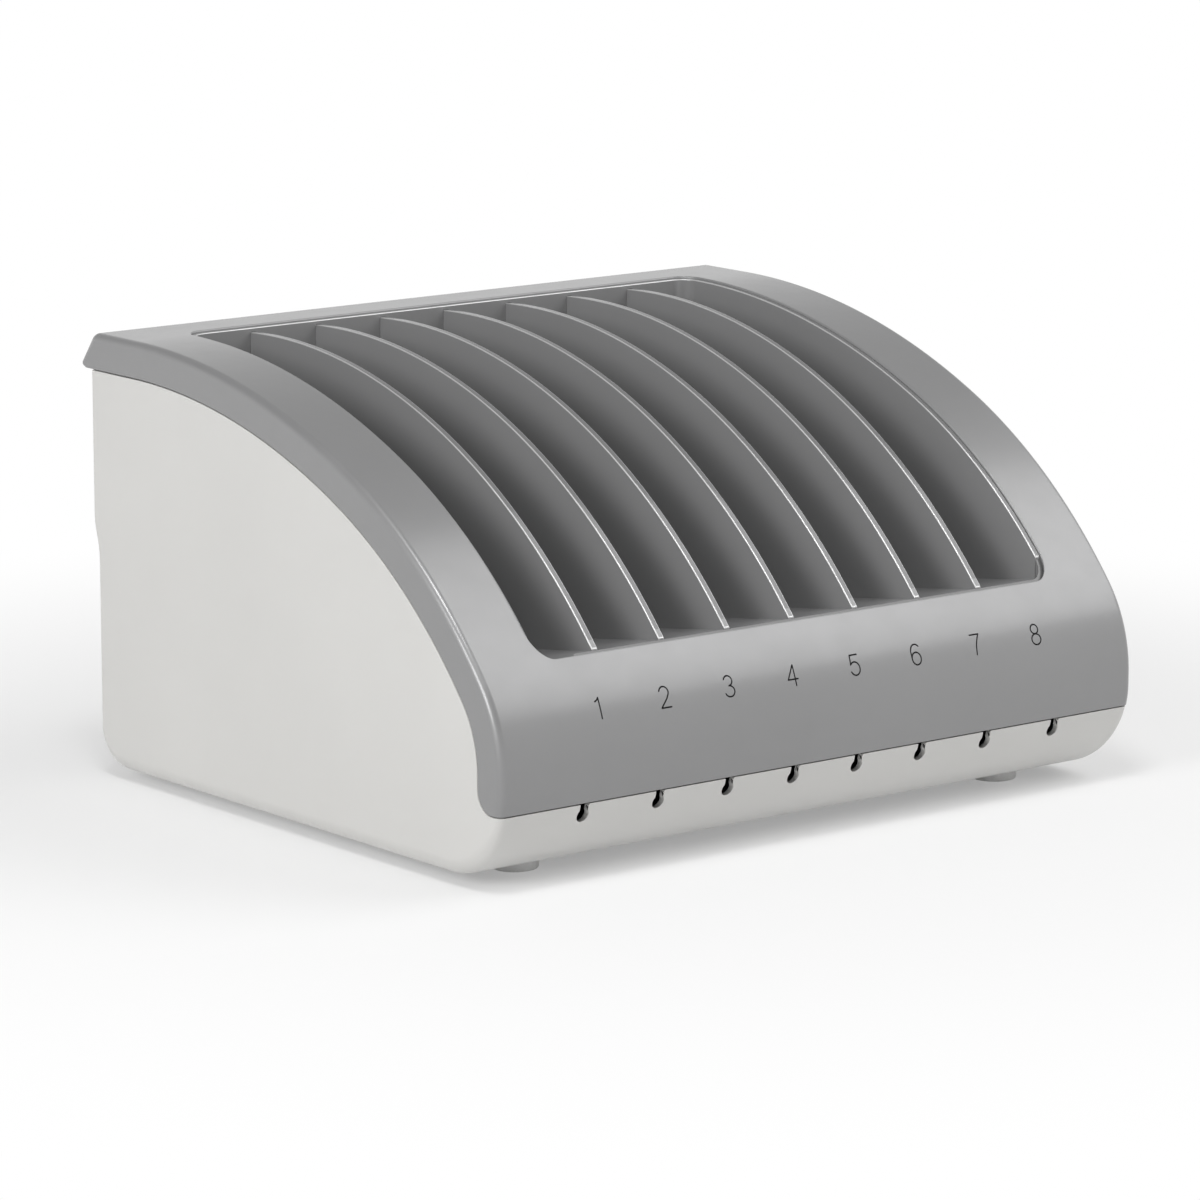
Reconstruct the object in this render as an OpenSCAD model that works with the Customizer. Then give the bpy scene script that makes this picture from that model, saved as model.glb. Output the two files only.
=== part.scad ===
// Desktop charging rack: a white base tub with cable notches along its front rim, a grey hinged cover
// with a tray of upright bays, and a mains powered charger with one outlet for each bay.
// Frame: X to the right, Y to the rear, Z up; the origin is under the middle of the rack, on the table.

/* [Housing] */
// Width of the rack across its bays
rack_w = 350; // [320:1:400]
// Depth of the rack, from the front bulge to the tip of the rear lip
rack_d = 305.6; // [290:0.2:340]
// Height of the rack above the table
rack_h = 198.6; // [193:0.2:215]
// Thickness of the moulded walls
wall = 3; // [2.4:0.1:3.4]
// Radius of the side edges of the base at its bottom
bottom_edge_r = 8; // [5:0.5:10]
// Radius of the side edges of the base at the seam and at its rear
seam_edge_r = 3.4; // [3.2:0.1:5]
// Radius of the corner between the bottom and the rear wall
heel_r = 18; // [12:1:24]

/* [Side profile] */
// Radius of the long arc over the top
top_r = 369; // [355:1:385]
// Angle that the long arc turns through
top_turn = 25.4; // [24:0.1:27]
// Radius of the arc from the top down to the front
slope_r = 263.5; // [255:0.5:270]
// Radius of the arc that rounds the front
front_r = 63.2; // [60:0.1:68]
// Height of the middle of the front bulge, as a share of the height
bulge_share = 0.25; // [0.24:0.005:0.26]
// Radius of the arc under the front, as a share of the room below the bulge
chin_share = 0.9; // [0.8:0.01:0.94]

/* [Rear wall] */
// How far the lip of the cover stands behind the rear wall
lip_overhang = 6.6; // [6.2:0.1:9]
// How far the lower rear wall is set in
rear_step = 3.6; // [2:0.1:4]
// Height at which the set-in part of the rear wall ends
rear_step_z = 97; // [80:1:110]
// Height that the step takes to come out to the upper wall
rear_step_rise = 22; // [15:1:30]

/* [Cover] */
// Height of the grey band along the sides
band_h = 16; // [13:0.5:18]
// Height of the cover's front edge above the table
seam_z = 35; // [32:0.5:40]
// Width of the seam between cover and base
seam_gap = 0.5; // [0.3:0.1:0.8]
// Radius at the lower front end of the band
band_corner_r = 9; // [6:0.5:11]
// Radius of the edge between the band and the top
crease_r = 3.5; // [2.5:0.1:4]
// Radius of the tip of the rear lip
lip_r = 2; // [1.5:0.1:2.5]
// Radius where the top turns down into the lip
lip_brow_r = 5; // [4:0.5:8]
// Lean of the lip's rear face from the upright, in degrees
lip_angle = 33; // [28:1:45]

/* [Opening] */
// Distance from the side of the rack to the opening
open_side = 32.3; // [30:0.1:40]
// Distance from the front bulge to the opening
open_front = 17.4; // [16:0.1:24]
// Distance from the opening to the tip of the rear lip
open_rear = 32.1; // [30:0.1:36]
// Radius of the opening's corners, seen from above
open_corner_r = 10; // [7:0.5:14]

/* [Tray and dividers] */
// Thickness of the tray's walls
tray_wall = 2.6; // [2:0.1:3]
// Thickness of the tray's floor
tray_floor = 2.4; // [2:0.1:3]
// Fall of the floor from the front to the rear, as a share of the height
floor_fall_share = 0.188; // [0.15:0.002:0.2]
// Gap between the tray and the edge of the opening
tray_fit = 0.4; // [0.3:0.05:0.6]
// How far the tray's rim stays below the face of the cover
rim_drop = 0.4; // [0.3:0.1:1.2]
// Thickness of a divider
divider_t = 3; // [2:0.1:3.4]
// How far the dividers stay below the top of the cover
divider_drop = 2.3; // [2:0.1:4]
// Depth of the grooves that hold the dividers
groove_depth = 0.8; // [0.6:0.1:1]
// Gap between a divider and its groove
groove_fit = 0.1; // [0.05:0.01:0.15]

/* [Cable notches] */
// Distance between the middle notches, as a share of the width
notch_pitch_share = 0.1008; // [0.095:0.0002:0.104]
// Share by which that distance grows from bay to bay towards the sides
notch_fan_share = 0.0047; // [0:0.0001:0.006]
// Width of a notch at the rim
notch_w = 4.3; // [4.2:0.1:4.6]
// Diameter of the round seat of a notch
notch_seat_d = 6; // [5.4:0.1:6.6]
// Depth of a notch below the rim
notch_depth = 8; // [7:0.1:9]

/* [Feet] */
// Visible height of a foot
foot_h = 4; // [3:0.5:5]
// Diameter of a foot
foot_d = 20.4; // [18:0.2:24]
// How deep a foot is let into the bottom
foot_seat = 1; // [0.6:0.1:1.4]
// Distance from the side of the rack to the middle of a foot
foot_side = 41; // [36:1:50]
// Distance from the front bulge to the middle of a front foot
foot_front = 45; // [43:1:55]
// Distance from the rear wall to the middle of a rear foot
foot_rear = 48; // [40:1:60]

/* [Hinge] */
// Distance of a hinge from the side of the rack
hinge_side = 65; // [40:1:75]
// Radius of the knuckles
hinge_r = 3; // [2.9:0.05:3.1]
// Radius of the hinge pins
pin_r = 1.5; // [1.4:0.05:1.6]
// Length of the cover's knuckle
knuckle_w = 16; // [12:1:24]
// Length of an ear on the base
ear_w = 6; // [4:0.5:8]

/* [Charger] */
// Distance from the side of the rack to the charger's case
charger_side = 59; // [57:1:64]
// Depth of the charger's case
charger_d = 82; // [78:1:90]
// Height of the charger's case
charger_h = 35; // [33:0.5:36]
// Thickness of the case's walls
case_wall = 2; // [1.6:0.1:2.2]
// Distance between charging outlets, as a share of the case's width
socket_pitch_share = 0.112; // [0.1:0.001:0.115]

/* [Mains inlet and switch] */
// Width of the inlet's flange
inlet_flange_w = 31; // [30:0.5:34]
// Height of the inlet's flange
inlet_flange_h = 23; // [22:0.5:24]
// Width of the switch's bezel
bezel_w = 21; // [20.6:0.1:24]
// Height of the switch's bezel
bezel_h = 15; // [14.6:0.1:18]
// Travel of the rocker from one side to the other, in degrees
rocker_travel = 18; // [12:1:20]

/* [Hidden] */
$fn = 48;

// Colours
white_shell = [0.86, 0.85, 0.84];
grey_cover = [0.60, 0.60, 0.61];
grey_tray = [0.45, 0.45, 0.46];
dark_plastic = [0.14, 0.14, 0.15];
dark_rubber = [0.20, 0.20, 0.20];
bright_steel = [0.76, 0.77, 0.79];
board_green = [0.10, 0.35, 0.20];

// Number of bays, one charging outlet and one cable notch for each
bays = 8;
// Overrun of every cut
over = 1;
// Steps along the arcs of the profile
top_steps = 10;
slope_steps = 10;
front_steps = 10;
chin_steps = 10;
divider_steps = 18;
corner_steps = 6;
step_steps = 3;
// Angles at which the rounded side edges are sliced
slice_angles = [0, 30, 60, 90];

// Places that follow from the housing
front_y = -rack_d / 2;
lip_y = rack_d / 2;
back_y = lip_y - lip_overhang;
floor_z = foot_h + wall;
inner_x = rack_w / 2 - wall;
front_c = [front_y + front_r, bulge_share * rack_h];
slope_fall = front_c.y - rack_h + top_r - (top_r - slope_r) * cos(top_turn);
join_angle = acos(slope_fall / (slope_r - front_r));
slope_c = front_c + (slope_r - front_r) * [sin(join_angle), -cos(join_angle)];
top_c = slope_c + (top_r - slope_r) * [sin(top_turn), -cos(top_turn)];
chin_r = chin_share * (front_c.y - foot_h);
chin_c = [front_y + chin_r, foot_h + chin_r];
heel_c = [back_y - rear_step - heel_r, foot_h + heel_r];
step_r = (pow(rear_step_rise, 2) + pow(rear_step, 2)) / (4 * rear_step);
step_angle = asin(rear_step_rise / 2 / step_r);
hollow_c = [back_y - rear_step + step_r, rear_step_z];
shoulder_c = [back_y - step_r, rear_step_z + rear_step_rise];
band_z = rack_h - band_h;
inner_seam_r = 1;

// Rear lip of the cover
lip_c = [lip_y - lip_r, band_z + lip_r];
brow_drop = lip_c.y - rack_h + lip_brow_r;
brow_y = lip_c.x + brow_drop * tan(lip_angle) + (lip_r - lip_brow_r) / cos(lip_angle);
brow_c = [brow_y, rack_h - lip_brow_r];

// Opening, tray and bays
open_w = rack_w - 2 * open_side;
open_y0 = front_y + open_front;
open_y1 = lip_y - open_rear;
tray_y0 = open_y0 + tray_fit + tray_wall;
tray_y1 = open_y1 - tray_fit - tray_wall;
tray_x = open_w / 2 - tray_fit - tray_wall;
floor_tilt = atan(floor_fall_share * rack_h / (open_y1 - open_y0));
bay_share = 0.995;
bay_pitch = bay_share * open_w / bays;
floor_drop = 0.4;
floor_front_z = profile_z(open_y0, 0) - floor_drop;

// Dividers
nose_back = 5.8;
nose_h = 0.8;
nose_y = tray_y0 + nose_back;
nose_z = tray_floor_z(nose_y) + nose_h;
peak_back_share = 0.067;
peak_y = tray_y1 - peak_back_share * (tray_y1 - tray_y0);
peak_z = rack_h - divider_drop;
divider_top_r = (pow(peak_y - nose_y, 2) + pow(peak_z - nose_z, 2)) / (2 * (peak_z - nose_z));

// Screws that hold the tray
screw_r = 1.5;
screw_head_r = 2.8;
screw_head_h = 2;
screw_fit = 0.05;
screw_slack = 0.3;
boss_r = 3.6;
tab_t = 2.5;
tab_reach = 8;
tab_len = 12;
boss_h = 9;
side_screw_front_share = 0.66;
side_screw_rear_share = 0.9;
side_screw_ys = [
    tray_y0 + side_screw_front_share * (tray_y1 - tray_y0),
    tray_y0 + side_screw_rear_share * (tray_y1 - tray_y0)
];
tray_screw_x = open_w / 2 + tab_reach - boss_r;

// Posts in the base that the cover rests on
post_t = 3;
post_w = 6;
post_fit = 0.3;
post_rest = 0.15;
post_foot = 12;
post_share = 0.3;
post_y = front_y + post_share * rack_d;

// Depth that a notch is cut to, from the front bulge
notch_reach = 12;

// Cover hinge
hinge_gap = 0.4;
hinge_x = rack_w / 2 - hinge_side;
hinge_y = back_y + hinge_r;
hinge_z = band_z - hinge_gap - hinge_r;
ear_gap = 0.3;
pin_fit = 0.02;
running_fit = 0.06;
pin_len = knuckle_w + 2 * (ear_gap + ear_w);

// Feet
foot_r = foot_d / 2;
foot_x = rack_w / 2 - foot_side;
foot_y0 = front_y + foot_front;
foot_y1 = back_y - foot_rear;
foot_fit = 0.1;
foot_edge_r = 1;
foot_boss_h = 7;
foot_boss_roof = 1;
foot_screw_len = 10;
foot_counterbore = 2.4;
foot_screw_head_r = 3;

// Charger case
charger_w = rack_w - 2 * charger_side;
rail_h = 3;
rear_gap = 0.5;
case_z0 = floor_z + rail_h;
case_z1 = case_z0 + charger_h;
case_y1 = heel_c.x + sqrt(pow(heel_r - wall, 2) - pow(heel_c.y - case_z0, 2)) - rear_gap;
case_y0 = case_y1 - charger_d;
standoff_h = 4;
standoff_r = 3;
board_t = 1.6;
board_gap = 1;
board_z = case_z0 + case_wall + standoff_h;
split_z = board_z + board_t;
case_edge_r = 3;
case_tab = 9;
case_tab_t = 3;
case_tab_inset = 14;
case_boss_r = 3.6;
case_screw_len = 5;
case_fit = 0.1;
standoff_inset = 8;

// Charging outlets
socket_pitch = socket_pitch_share * charger_w;
socket_w = 13.1;
socket_h = 5.7;
socket_len = 14;
socket_wall = 0.5;
socket_fit = 0.2;
socket_tongue_t = 1.8;
socket_tongue_side = 0.8;
socket_tongue_back = 2;
socket_block = 3;
socket_proud = 0.4;

// Parts on the circuit board
core_w_share = 0.181;
core_w = core_w_share * charger_w;
core_d = 34;
core_h = 22;
core_leg = 7;
winding_bulge = 4;
capacitor_sizes = [[8, 22], [8, 22], [5, 16], [5, 16]];
capacitor_gap = 2.5;
fin_count = 9;
fin_t = 1.4;
fin_gap_share = 0.0155;
fin_gap = fin_gap_share * charger_w;
sink_base_t = 3;
sink_d = 26;
sink_h = 20;
parts_front_share = 0.62;
parts_y = case_y0 + parts_front_share * charger_d;
leg_share = 0.25;
capacitor_back = 10;
transformer_x_share = 0.12;
transformer_x = transformer_x_share * charger_w;
capacitor_x_share = -0.052;
capacitor_x = capacitor_x_share * charger_w;
sink_x_share = 0.285;
sink_x = sink_x_share * charger_w;

// Mains inlet
inlet_rise = 13;
inlet_z = split_z + inlet_rise;
inlet_x_share = -0.3535;
inlet_x = inlet_x_share * charger_w;
inlet_flange_t = 2.4;
inlet_flange_r = 3;
inlet_body_w = 27.4;
inlet_body_h = 19.6;
inlet_body_len = 19;
inlet_mouth_w = 24.4;
inlet_mouth_h = 16.6;
inlet_mouth_len = 16.4;
inlet_key = 4;
inlet_fit = 0.1;
blade_w = 4;
blade_t = 2;
blade_len = 15;
blade_pitch = 7;
earth_rise = 2;
live_drop = 2;
tail_len = 4;

// Rocker switch
switch_x_share = -0.198;
switch_x = switch_x_share * charger_w;
bezel_t = 1.8;
switch_body_w = 19;
switch_body_h = 13;
switch_body_len = 14;
switch_wall = 0.9;
rocker_gap = 0.2;
rocker_r = 5.3;
rocker_axis_out = 0.6;
rocker_face = 3;
rocker_face_angle = 11;
switch_pocket = 8;
trunnion_r = 1.2;
switch_blade_w = 4.8;
switch_blade_t = 0.8;
switch_blade_len = 7;
switch_blade_pitch = 7;

// Vents in the lower rear wall
vent_count = 9;
vent_w = 3;
vent_h = 26;
vent_pitch = 9;
vent_x_share = 0.2586;
vent_x = vent_x_share * charger_w;

// Height of the outer profile, less an inset square to it, at the depth y
function profile_z(y, inset) =
    y > top_c.x
        ? rack_h - inset
        : y > top_c.x - top_r * sin(top_turn)
            ? top_c.y + sqrt(pow(top_r - inset, 2) - pow(y - top_c.x, 2))
            : y > slope_c.x - slope_r * sin(join_angle)
                ? slope_c.y + sqrt(pow(slope_r - inset, 2) - pow(y - slope_c.x, 2))
                : front_c.y + sqrt(pow(front_r - inset, 2) - pow(y - front_c.x, 2));

// Height of the face of the tray's sloping floor at the depth y
function tray_floor_z(y) = floor_front_z - (y - open_y0) * tan(floor_tilt);

// Place of a bay's divider, outlet or notch number k, counted from the left
function spread(k, count, pitch) = (k - (count + 1) / 2) * pitch;

// Place of notch number k, counted from the left
function notch_x(k) =
    let (u = k - (bays + 1) / 2) notch_pitch_share * rack_w * u * (1 + notch_fan_share * u * u);

// Points of an arc about the centre c, from the angle a0 to a1; first is the first step drawn
function arc(c, r, a0, a1, steps, first = 0) = [
    for (k = [first:steps]) c + r * [cos(a0 + (a1 - a0) * k / steps), sin(a0 + (a1 - a0) * k / steps)]
];

// Points of the profile from the top down to the middle of the front bulge, drawn in by an inset
function crown(inset) = concat(
    arc(top_c, top_r - inset, 90, 90 + top_turn, top_steps),
    arc(slope_c, slope_r - inset, 90 + top_turn, 90 + join_angle, slope_steps, 1),
    arc(front_c, front_r - inset, 90 + join_angle, 180, front_steps, 1)
);

// One arc of a closed outline: centre, radius, first and last angle, steps, first step drawn,
// and the radius of the rounded side edge at its two ends; a hollow arc has a radius below zero
function lap(c, r, a0, a1, steps, first, e0, e1) = [c, r, a0, a1, steps, first, e0, e1];

// Slice of a rounded body: the outline of the laps, drawn in for the angle t of its side edge
function slice(laps, half_w, side, t) = [
    for (a = laps)
        for (k = [a[5]:a[4]])
            let (phi = a[2] + (a[3] - a[2]) * k / a[4])
            let (edge = a[6] + (a[7] - a[6]) * k / a[4])
            let (r = a[1] - edge * (1 - cos(t)))
            [
                side * (half_w - edge * (1 - sin(t))),
                a[0].x + r * cos(phi),
                a[0].y + r * sin(phi)
            ]
];

// Side outline of the base, drawn in by an inset
function base_laps(inset, edge_top, edge_bottom) = [
    lap(heel_c, heel_r - inset, -90, 0, corner_steps, 0, edge_bottom, edge_top),
    lap(hollow_c, -step_r - inset, 0, -step_angle, step_steps, 0, edge_top, edge_top),
    lap(shoulder_c, step_r - inset, -step_angle, 0, step_steps, 1, edge_top, edge_top),
    lap([back_y - lip_brow_r, rack_h - lip_brow_r], lip_brow_r - inset, 0, 90, 2, 0, edge_top, edge_top),
    lap(top_c, top_r - inset, 90, 90 + top_turn, top_steps, 0, edge_top, edge_top),
    lap(slope_c, slope_r - inset, 90 + top_turn, 90 + join_angle, slope_steps, 1, edge_top, edge_top),
    lap(front_c, front_r - inset, 90 + join_angle, 180, front_steps, 1, edge_top, edge_top),
    lap(chin_c, chin_r - inset, 180, 270, chin_steps, 0, edge_top, edge_bottom)
];

// Side outline of the cover with its rear lip
cover_laps = [
    lap(lip_c, lip_r, -90, lip_angle, corner_steps, 0, lip_r, lip_r),
    lap(brow_c, lip_brow_r, lip_angle, 90, corner_steps, 0, crease_r, crease_r),
    lap(top_c, top_r, 90, 90 + top_turn, top_steps, 0, crease_r, crease_r),
    lap(slope_c, slope_r, 90 + top_turn, 90 + join_angle, slope_steps, 1, crease_r, crease_r),
    lap(front_c, front_r, 90 + join_angle, 180, front_steps, 1, crease_r, crease_r),
    lap(chin_c, chin_r, 180, 270, chin_steps, 0, crease_r, crease_r)
];

// Region under the cover that the base may fill: below the side bands and below the seam
function under_cover(gap) = concat(
    [[lip_y + over, -over], [lip_y + over, band_z - gap]],
    crown(band_h + gap),
    arc(
        [front_y + band_h - band_corner_r, seam_z + band_corner_r], band_corner_r + gap, 0, -90, corner_steps
    ),
    [[front_y - over, seam_z - gap], [front_y - over, -over]]
);

// Extrudes an outline drawn in Y and Z along X
module along_x(width) {
    rotate([90, 0, 90]) linear_extrude(height = width, center = true) children();
}

// Closed body through a row of slices, from left to right
module skin(rings) {
    n = len(rings[0]);
    m = len(rings);
    sides = [
        for (j = [0:m - 2])
            for (k = [0:n - 1])
                let (a = j * n + k)
                let (b = j * n + (k + 1) % n)
                each [[a, a + n, b + n], [a, b + n, b]]
    ];
    left_cap = [for (k = [0:n - 1]) k];
    right_cap = [for (k = [n - 1:-1:0]) (m - 1) * n + k];
    polyhedron(points = [for (r = rings) each r], faces = concat([left_cap], sides, [right_cap]));
}

// Body with rounded side edges over the outline of the laps
module rounded_body(laps, half_w) {
    last = len(slice_angles) - 1;
    skin(concat(
        [for (k = [last:-1:0]) slice(laps, half_w, -1, slice_angles[k])],
        [for (k = [0:last]) slice(laps, half_w, 1, slice_angles[k])]
    ));
}

// Rounded rectangle with its corners at two points
module rounded_rect(p, q, r) {
    translate(p + [r, r]) offset(r = r) square(q - p - 2 * [r, r]);
}

// Upright block with rounded corners, made of exact cylinders and slabs
module rounded_block(size, r) {
    translate([-size.x / 2, -size.y / 2 + r, 0]) cube([size.x, size.y - 2 * r, size.z]);
    translate([-size.x / 2 + r, -size.y / 2, 0]) cube([size.x - 2 * r, size.y, size.z]);
    for (x = [-1, 1], y = [-1, 1])
        translate([x * (size.x / 2 - r), y * (size.y / 2 - r), 0]) cylinder(h = size.z, r = r);
}

// Rod along X about the point [y, z]
module rod_x(r, len, p) {
    translate([-len / 2, p.x, p.y]) rotate([0, 90, 0]) cylinder(h = len, r = r);
}

// Pan head screw, head down, with the shoulder of its head at z = 0
module pan_screw(head_r, head_h, len) {
    cylinder(h = len, r = screw_r);
    translate([0, 0, -head_h]) cylinder(h = head_h, r = head_r);
}

// Cut of one cable notch, run through the front wall
module notch_cut() {
    rim = seam_z - seam_gap;
    seat_z = rim - notch_depth + notch_seat_d / 2;
    translate([0, front_y - over, seat_z]) rotate([-90, 0, 0]) cylinder(h = notch_reach, d = notch_seat_d);
    translate([-notch_w / 2, front_y - over, seat_z]) cube([notch_w, notch_reach, rim - seat_z + over]);
}

// Post on a side wall that carries the cover
module rest_post(side) {
    outer_x = inner_x - post_fit;
    rim = profile_z(post_y - post_w / 2, band_h + seam_gap);
    top = profile_z(post_y - post_w / 2, wall) - post_rest;
    x0 = outer_x - post_t;
    mirror([side < 0 ? 1 : 0, 0, 0]) {
        translate([x0, post_y - post_w / 2, rim - post_foot]) cube([post_t, post_w, top - rim + post_foot]);
        translate([x0, post_y - post_w / 2, rim - post_foot])
            cube([post_t + post_fit + wall / 2, post_w, post_foot - over]);
    }
}

// Ears of one hinge on the rear wall
module hinge_ears(x) {
    for (s = [-1, 1])
        translate([x + s * (knuckle_w / 2 + ear_gap + ear_w / 2), 0, 0]) {
            rod_x(hinge_r, ear_w, [hinge_y, hinge_z]);
            translate([-ear_w / 2, back_y - wall / 2, hinge_z - hinge_r])
                cube([ear_w, hinge_r + wall / 2, 2 * hinge_r]);
        }
}

// Boss on the floor for a screw, with its hole
module floor_boss(r, h) {
    translate([0, 0, floor_z - wall / 2]) cylinder(h = h + wall / 2, r = r);
}

// Places of the screws on the tabs of the charger's case
function case_screw_places() = [
    for (x = [-1, 1], y = [case_y0 + case_tab_inset, case_y1 - case_tab_inset])
        [x * (charger_w / 2 + case_tab / 2), y]
];

// White tub with its notches, posts, bosses and hinge ears
module base_shell() {
    color(white_shell)
        difference() {
            union() {
                difference() {
                    intersection() {
                        rounded_body(base_laps(0, seam_edge_r, bottom_edge_r), rack_w / 2);
                        along_x(rack_w + 2 * over) polygon(under_cover(seam_gap));
                    }
                    rounded_body(base_laps(wall, inner_seam_r, bottom_edge_r - wall), inner_x);
                }
                for (s = [-1, 1]) {
                    rest_post(s);
                    hinge_ears(s * hinge_x);
                    for (y = [foot_y0, foot_y1])
                        translate([s * foot_x, y, 0]) floor_boss(boss_r, foot_boss_h);
                }
                for (p = case_screw_places())
                    translate([p.x, p.y, 0]) floor_boss(case_boss_r, rail_h);
            }
            for (k = [1:bays])
                translate([notch_x(k), 0, 0]) notch_cut();
            for (s = [-1, 1]) {
                rod_x(pin_r + pin_fit, rack_w, [hinge_y, hinge_z]);
                for (y = [foot_y0, foot_y1])
                    translate([s * foot_x, y, 0]) {
                        translate([0, 0, foot_h - over])
                            cylinder(h = foot_seat + over, r = foot_r + foot_fit);
                        translate([0, 0, foot_h])
                            cylinder(h = wall + foot_boss_h - foot_boss_roof, r = screw_r + screw_fit);
                    }
            }
            for (p = case_screw_places())
                translate([p.x, p.y, floor_z - wall / 2])
                    cylinder(h = rail_h + wall, r = screw_r + screw_fit);
            wall_window(inlet_x, inlet_body_w, inlet_body_h);
            wall_window(switch_x, switch_body_w, switch_body_h);
            for (k = [1:vent_count])
                translate([vent_x + spread(k, vent_count, vent_pitch), 0, 0]) vent_cut();
        }
}

// Hole in the lower rear wall for the inlet or the switch
module wall_window(x, w, h) {
    translate([x - w / 2 - inlet_fit, back_y - rear_step - wall - over, inlet_z - h / 2 - inlet_fit])
        cube([w + 2 * inlet_fit, wall + 2 * over, h + 2 * inlet_fit]);
}

// Upright vent with round ends
module vent_cut() {
    y = back_y - rear_step - wall - over;
    for (z = [-1, 1])
        translate([0, y, inlet_z + z * (vent_h - vent_w) / 2])
            rotate([-90, 0, 0]) cylinder(h = wall + 2 * over, d = vent_w);
    translate([-vent_w / 2, y, inlet_z - (vent_h - vent_w) / 2])
        cube([vent_w, wall + 2 * over, vent_h - vent_w]);
}

// Hollow of the cover, open below
module cover_hollow() {
    tip_y = lip_y - wall;
    roof = rack_h - wall;
    lip_in = lip_r - wall;
    along_x(2 * inner_x)
        polygon(concat(
            [
                [tip_y, -over],
                [tip_y, lip_c.y + (lip_in + (lip_c.x - tip_y) * cos(lip_angle)) / sin(lip_angle)],
                [lip_c.x + (lip_in - (roof - lip_c.y) * sin(lip_angle)) / cos(lip_angle), roof]
            ],
            crown(wall),
            [[front_y + wall, -over]]
        ));
}

// Boss under the top of the cover that a tray screw goes into
module tray_boss(y) {
    top = profile_z(y, wall / 2);
    translate([0, y, profile_z(y, wall) - boss_h]) difference() {
        cylinder(h = top - profile_z(y, wall) + boss_h, r = boss_r);
        translate([0, 0, -over]) cylinder(h = boss_h, r = screw_r + screw_fit);
    }
}

// Grey cover: top, front apron, side bands, rear lip and the hinges' middle knuckles
module cover_frame() {
    color(grey_cover) {
        difference() {
            rounded_body(cover_laps, rack_w / 2);
            along_x(rack_w + 2 * over) polygon(under_cover(0));
            cover_hollow();
            linear_extrude(height = rack_h + over)
                rounded_rect([-open_w / 2, open_y0], [open_w / 2, open_y1], open_corner_r);
        }
        for (s = [-1, 1]) {
            for (y = side_screw_ys)
                translate([s * tray_screw_x, 0, 0]) tray_boss(y);
            translate([s * hinge_x, 0, 0]) difference() {
                union() {
                    rod_x(hinge_r, knuckle_w, [hinge_y, hinge_z]);
                    translate([-knuckle_w / 2, lip_y - wall, hinge_z])
                        cube([knuckle_w, wall - lip_r / 2, lip_c.y - hinge_z]);
                }
                rod_x(pin_r + running_fit, knuckle_w + 2 * over, [hinge_y, hinge_z]);
            }
        }
    }
}

// Side outline of what lies over a plane parallel to the tray's floor
function over_floor(drop) = [
    [tray_y0 - rack_d, tray_floor_z(tray_y0 - rack_d) - drop],
    [tray_y1 + rack_d, tray_floor_z(tray_y1 + rack_d) - drop],
    [tray_y1 + rack_d, rack_h + rack_d],
    [tray_y0 - rack_d, rack_h + rack_d]
];

// Plan of the tray, drawn in by an inset
module tray_plan(inset) {
    rounded_rect(
        [-open_w / 2 + inset, open_y0 + inset], [open_w / 2 - inset, open_y1 - inset], open_corner_r - inset
    );
}

// Tab beside the tray that a screw holds to the cover
module tray_tab(y) {
    top = profile_z(y, wall) - boss_h;
    x0 = tray_x + tray_wall / 2;
    translate([0, y, top - tab_t]) difference() {
        translate([x0, -tab_len / 2, 0]) cube([tray_screw_x + boss_r - x0, tab_len, tab_t]);
        translate([tray_screw_x, 0, -over]) cylinder(h = tab_t + 2 * over, r = screw_r + screw_slack);
    }
}

// Side outline of a divider; grow widens it for its groove
function divider_outline(grow) = concat(
    [
        [nose_y - grow, tray_floor_z(nose_y) - groove_depth - grow],
        [tray_y1 + groove_depth + grow, tray_floor_z(tray_y1) - groove_depth - grow]
    ],
    arc(
        [peak_y, peak_z - divider_top_r], divider_top_r + grow,
        acos((tray_y1 + groove_depth + grow - peak_y) / (divider_top_r + grow)),
        acos((nose_y - peak_y) / divider_top_r), divider_steps
    ),
    grow > 0 ? [[nose_y - grow, nose_z]] : []
);

// Grey tray: side and rear walls, sloping floor, grooves for the dividers and screw tabs
module rack_tray() {
    color(grey_tray) {
        difference() {
            intersection() {
                linear_extrude(height = rack_h) tray_plan(tray_fit);
                along_x(rack_w) polygon(over_floor(tray_floor / cos(floor_tilt)));
                along_x(rack_w)
                    polygon(concat(
                        [[lip_y, 0], [lip_y, rack_h - rim_drop]],
                        crown(rim_drop),
                        [[front_y + rim_drop, 0]]
                    ));
            }
            intersection() {
                linear_extrude(height = rack_h + over) {
                    tray_plan(tray_fit + tray_wall);
                    translate([-open_w / 2, open_y0]) square([open_w, nose_y - open_y0]);
                }
                along_x(rack_w) polygon(over_floor(0));
            }
            for (k = [1:bays - 1])
                translate([spread(k, bays - 1, bay_pitch), 0, 0])
                    along_x(divider_t + 2 * groove_fit) polygon(divider_outline(groove_fit));
        }
        for (y = side_screw_ys) {
            tray_tab(y);
            mirror([1, 0, 0]) tray_tab(y);
        }
    }
}

// Upright divider number k between two bays
module divider(k) {
    color(grey_tray)
        translate([spread(k, bays - 1, bay_pitch), 0, 0]) along_x(divider_t) polygon(divider_outline(0));
}

// Screws that hold the tray's tabs to the cover
module tray_screws() {
    color(bright_steel)
        for (x = [-1, 1], y = side_screw_ys)
            translate([x * tray_screw_x, y, profile_z(y, wall) - boss_h - tab_t])
                pan_screw(screw_head_r, screw_head_h, boss_h + tab_t - 2 * over);
}

// Pin of one hinge
module hinge_pin(x) {
    color(bright_steel) translate([x, 0, 0]) rod_x(pin_r, pin_len, [hinge_y, hinge_z]);
}

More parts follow.
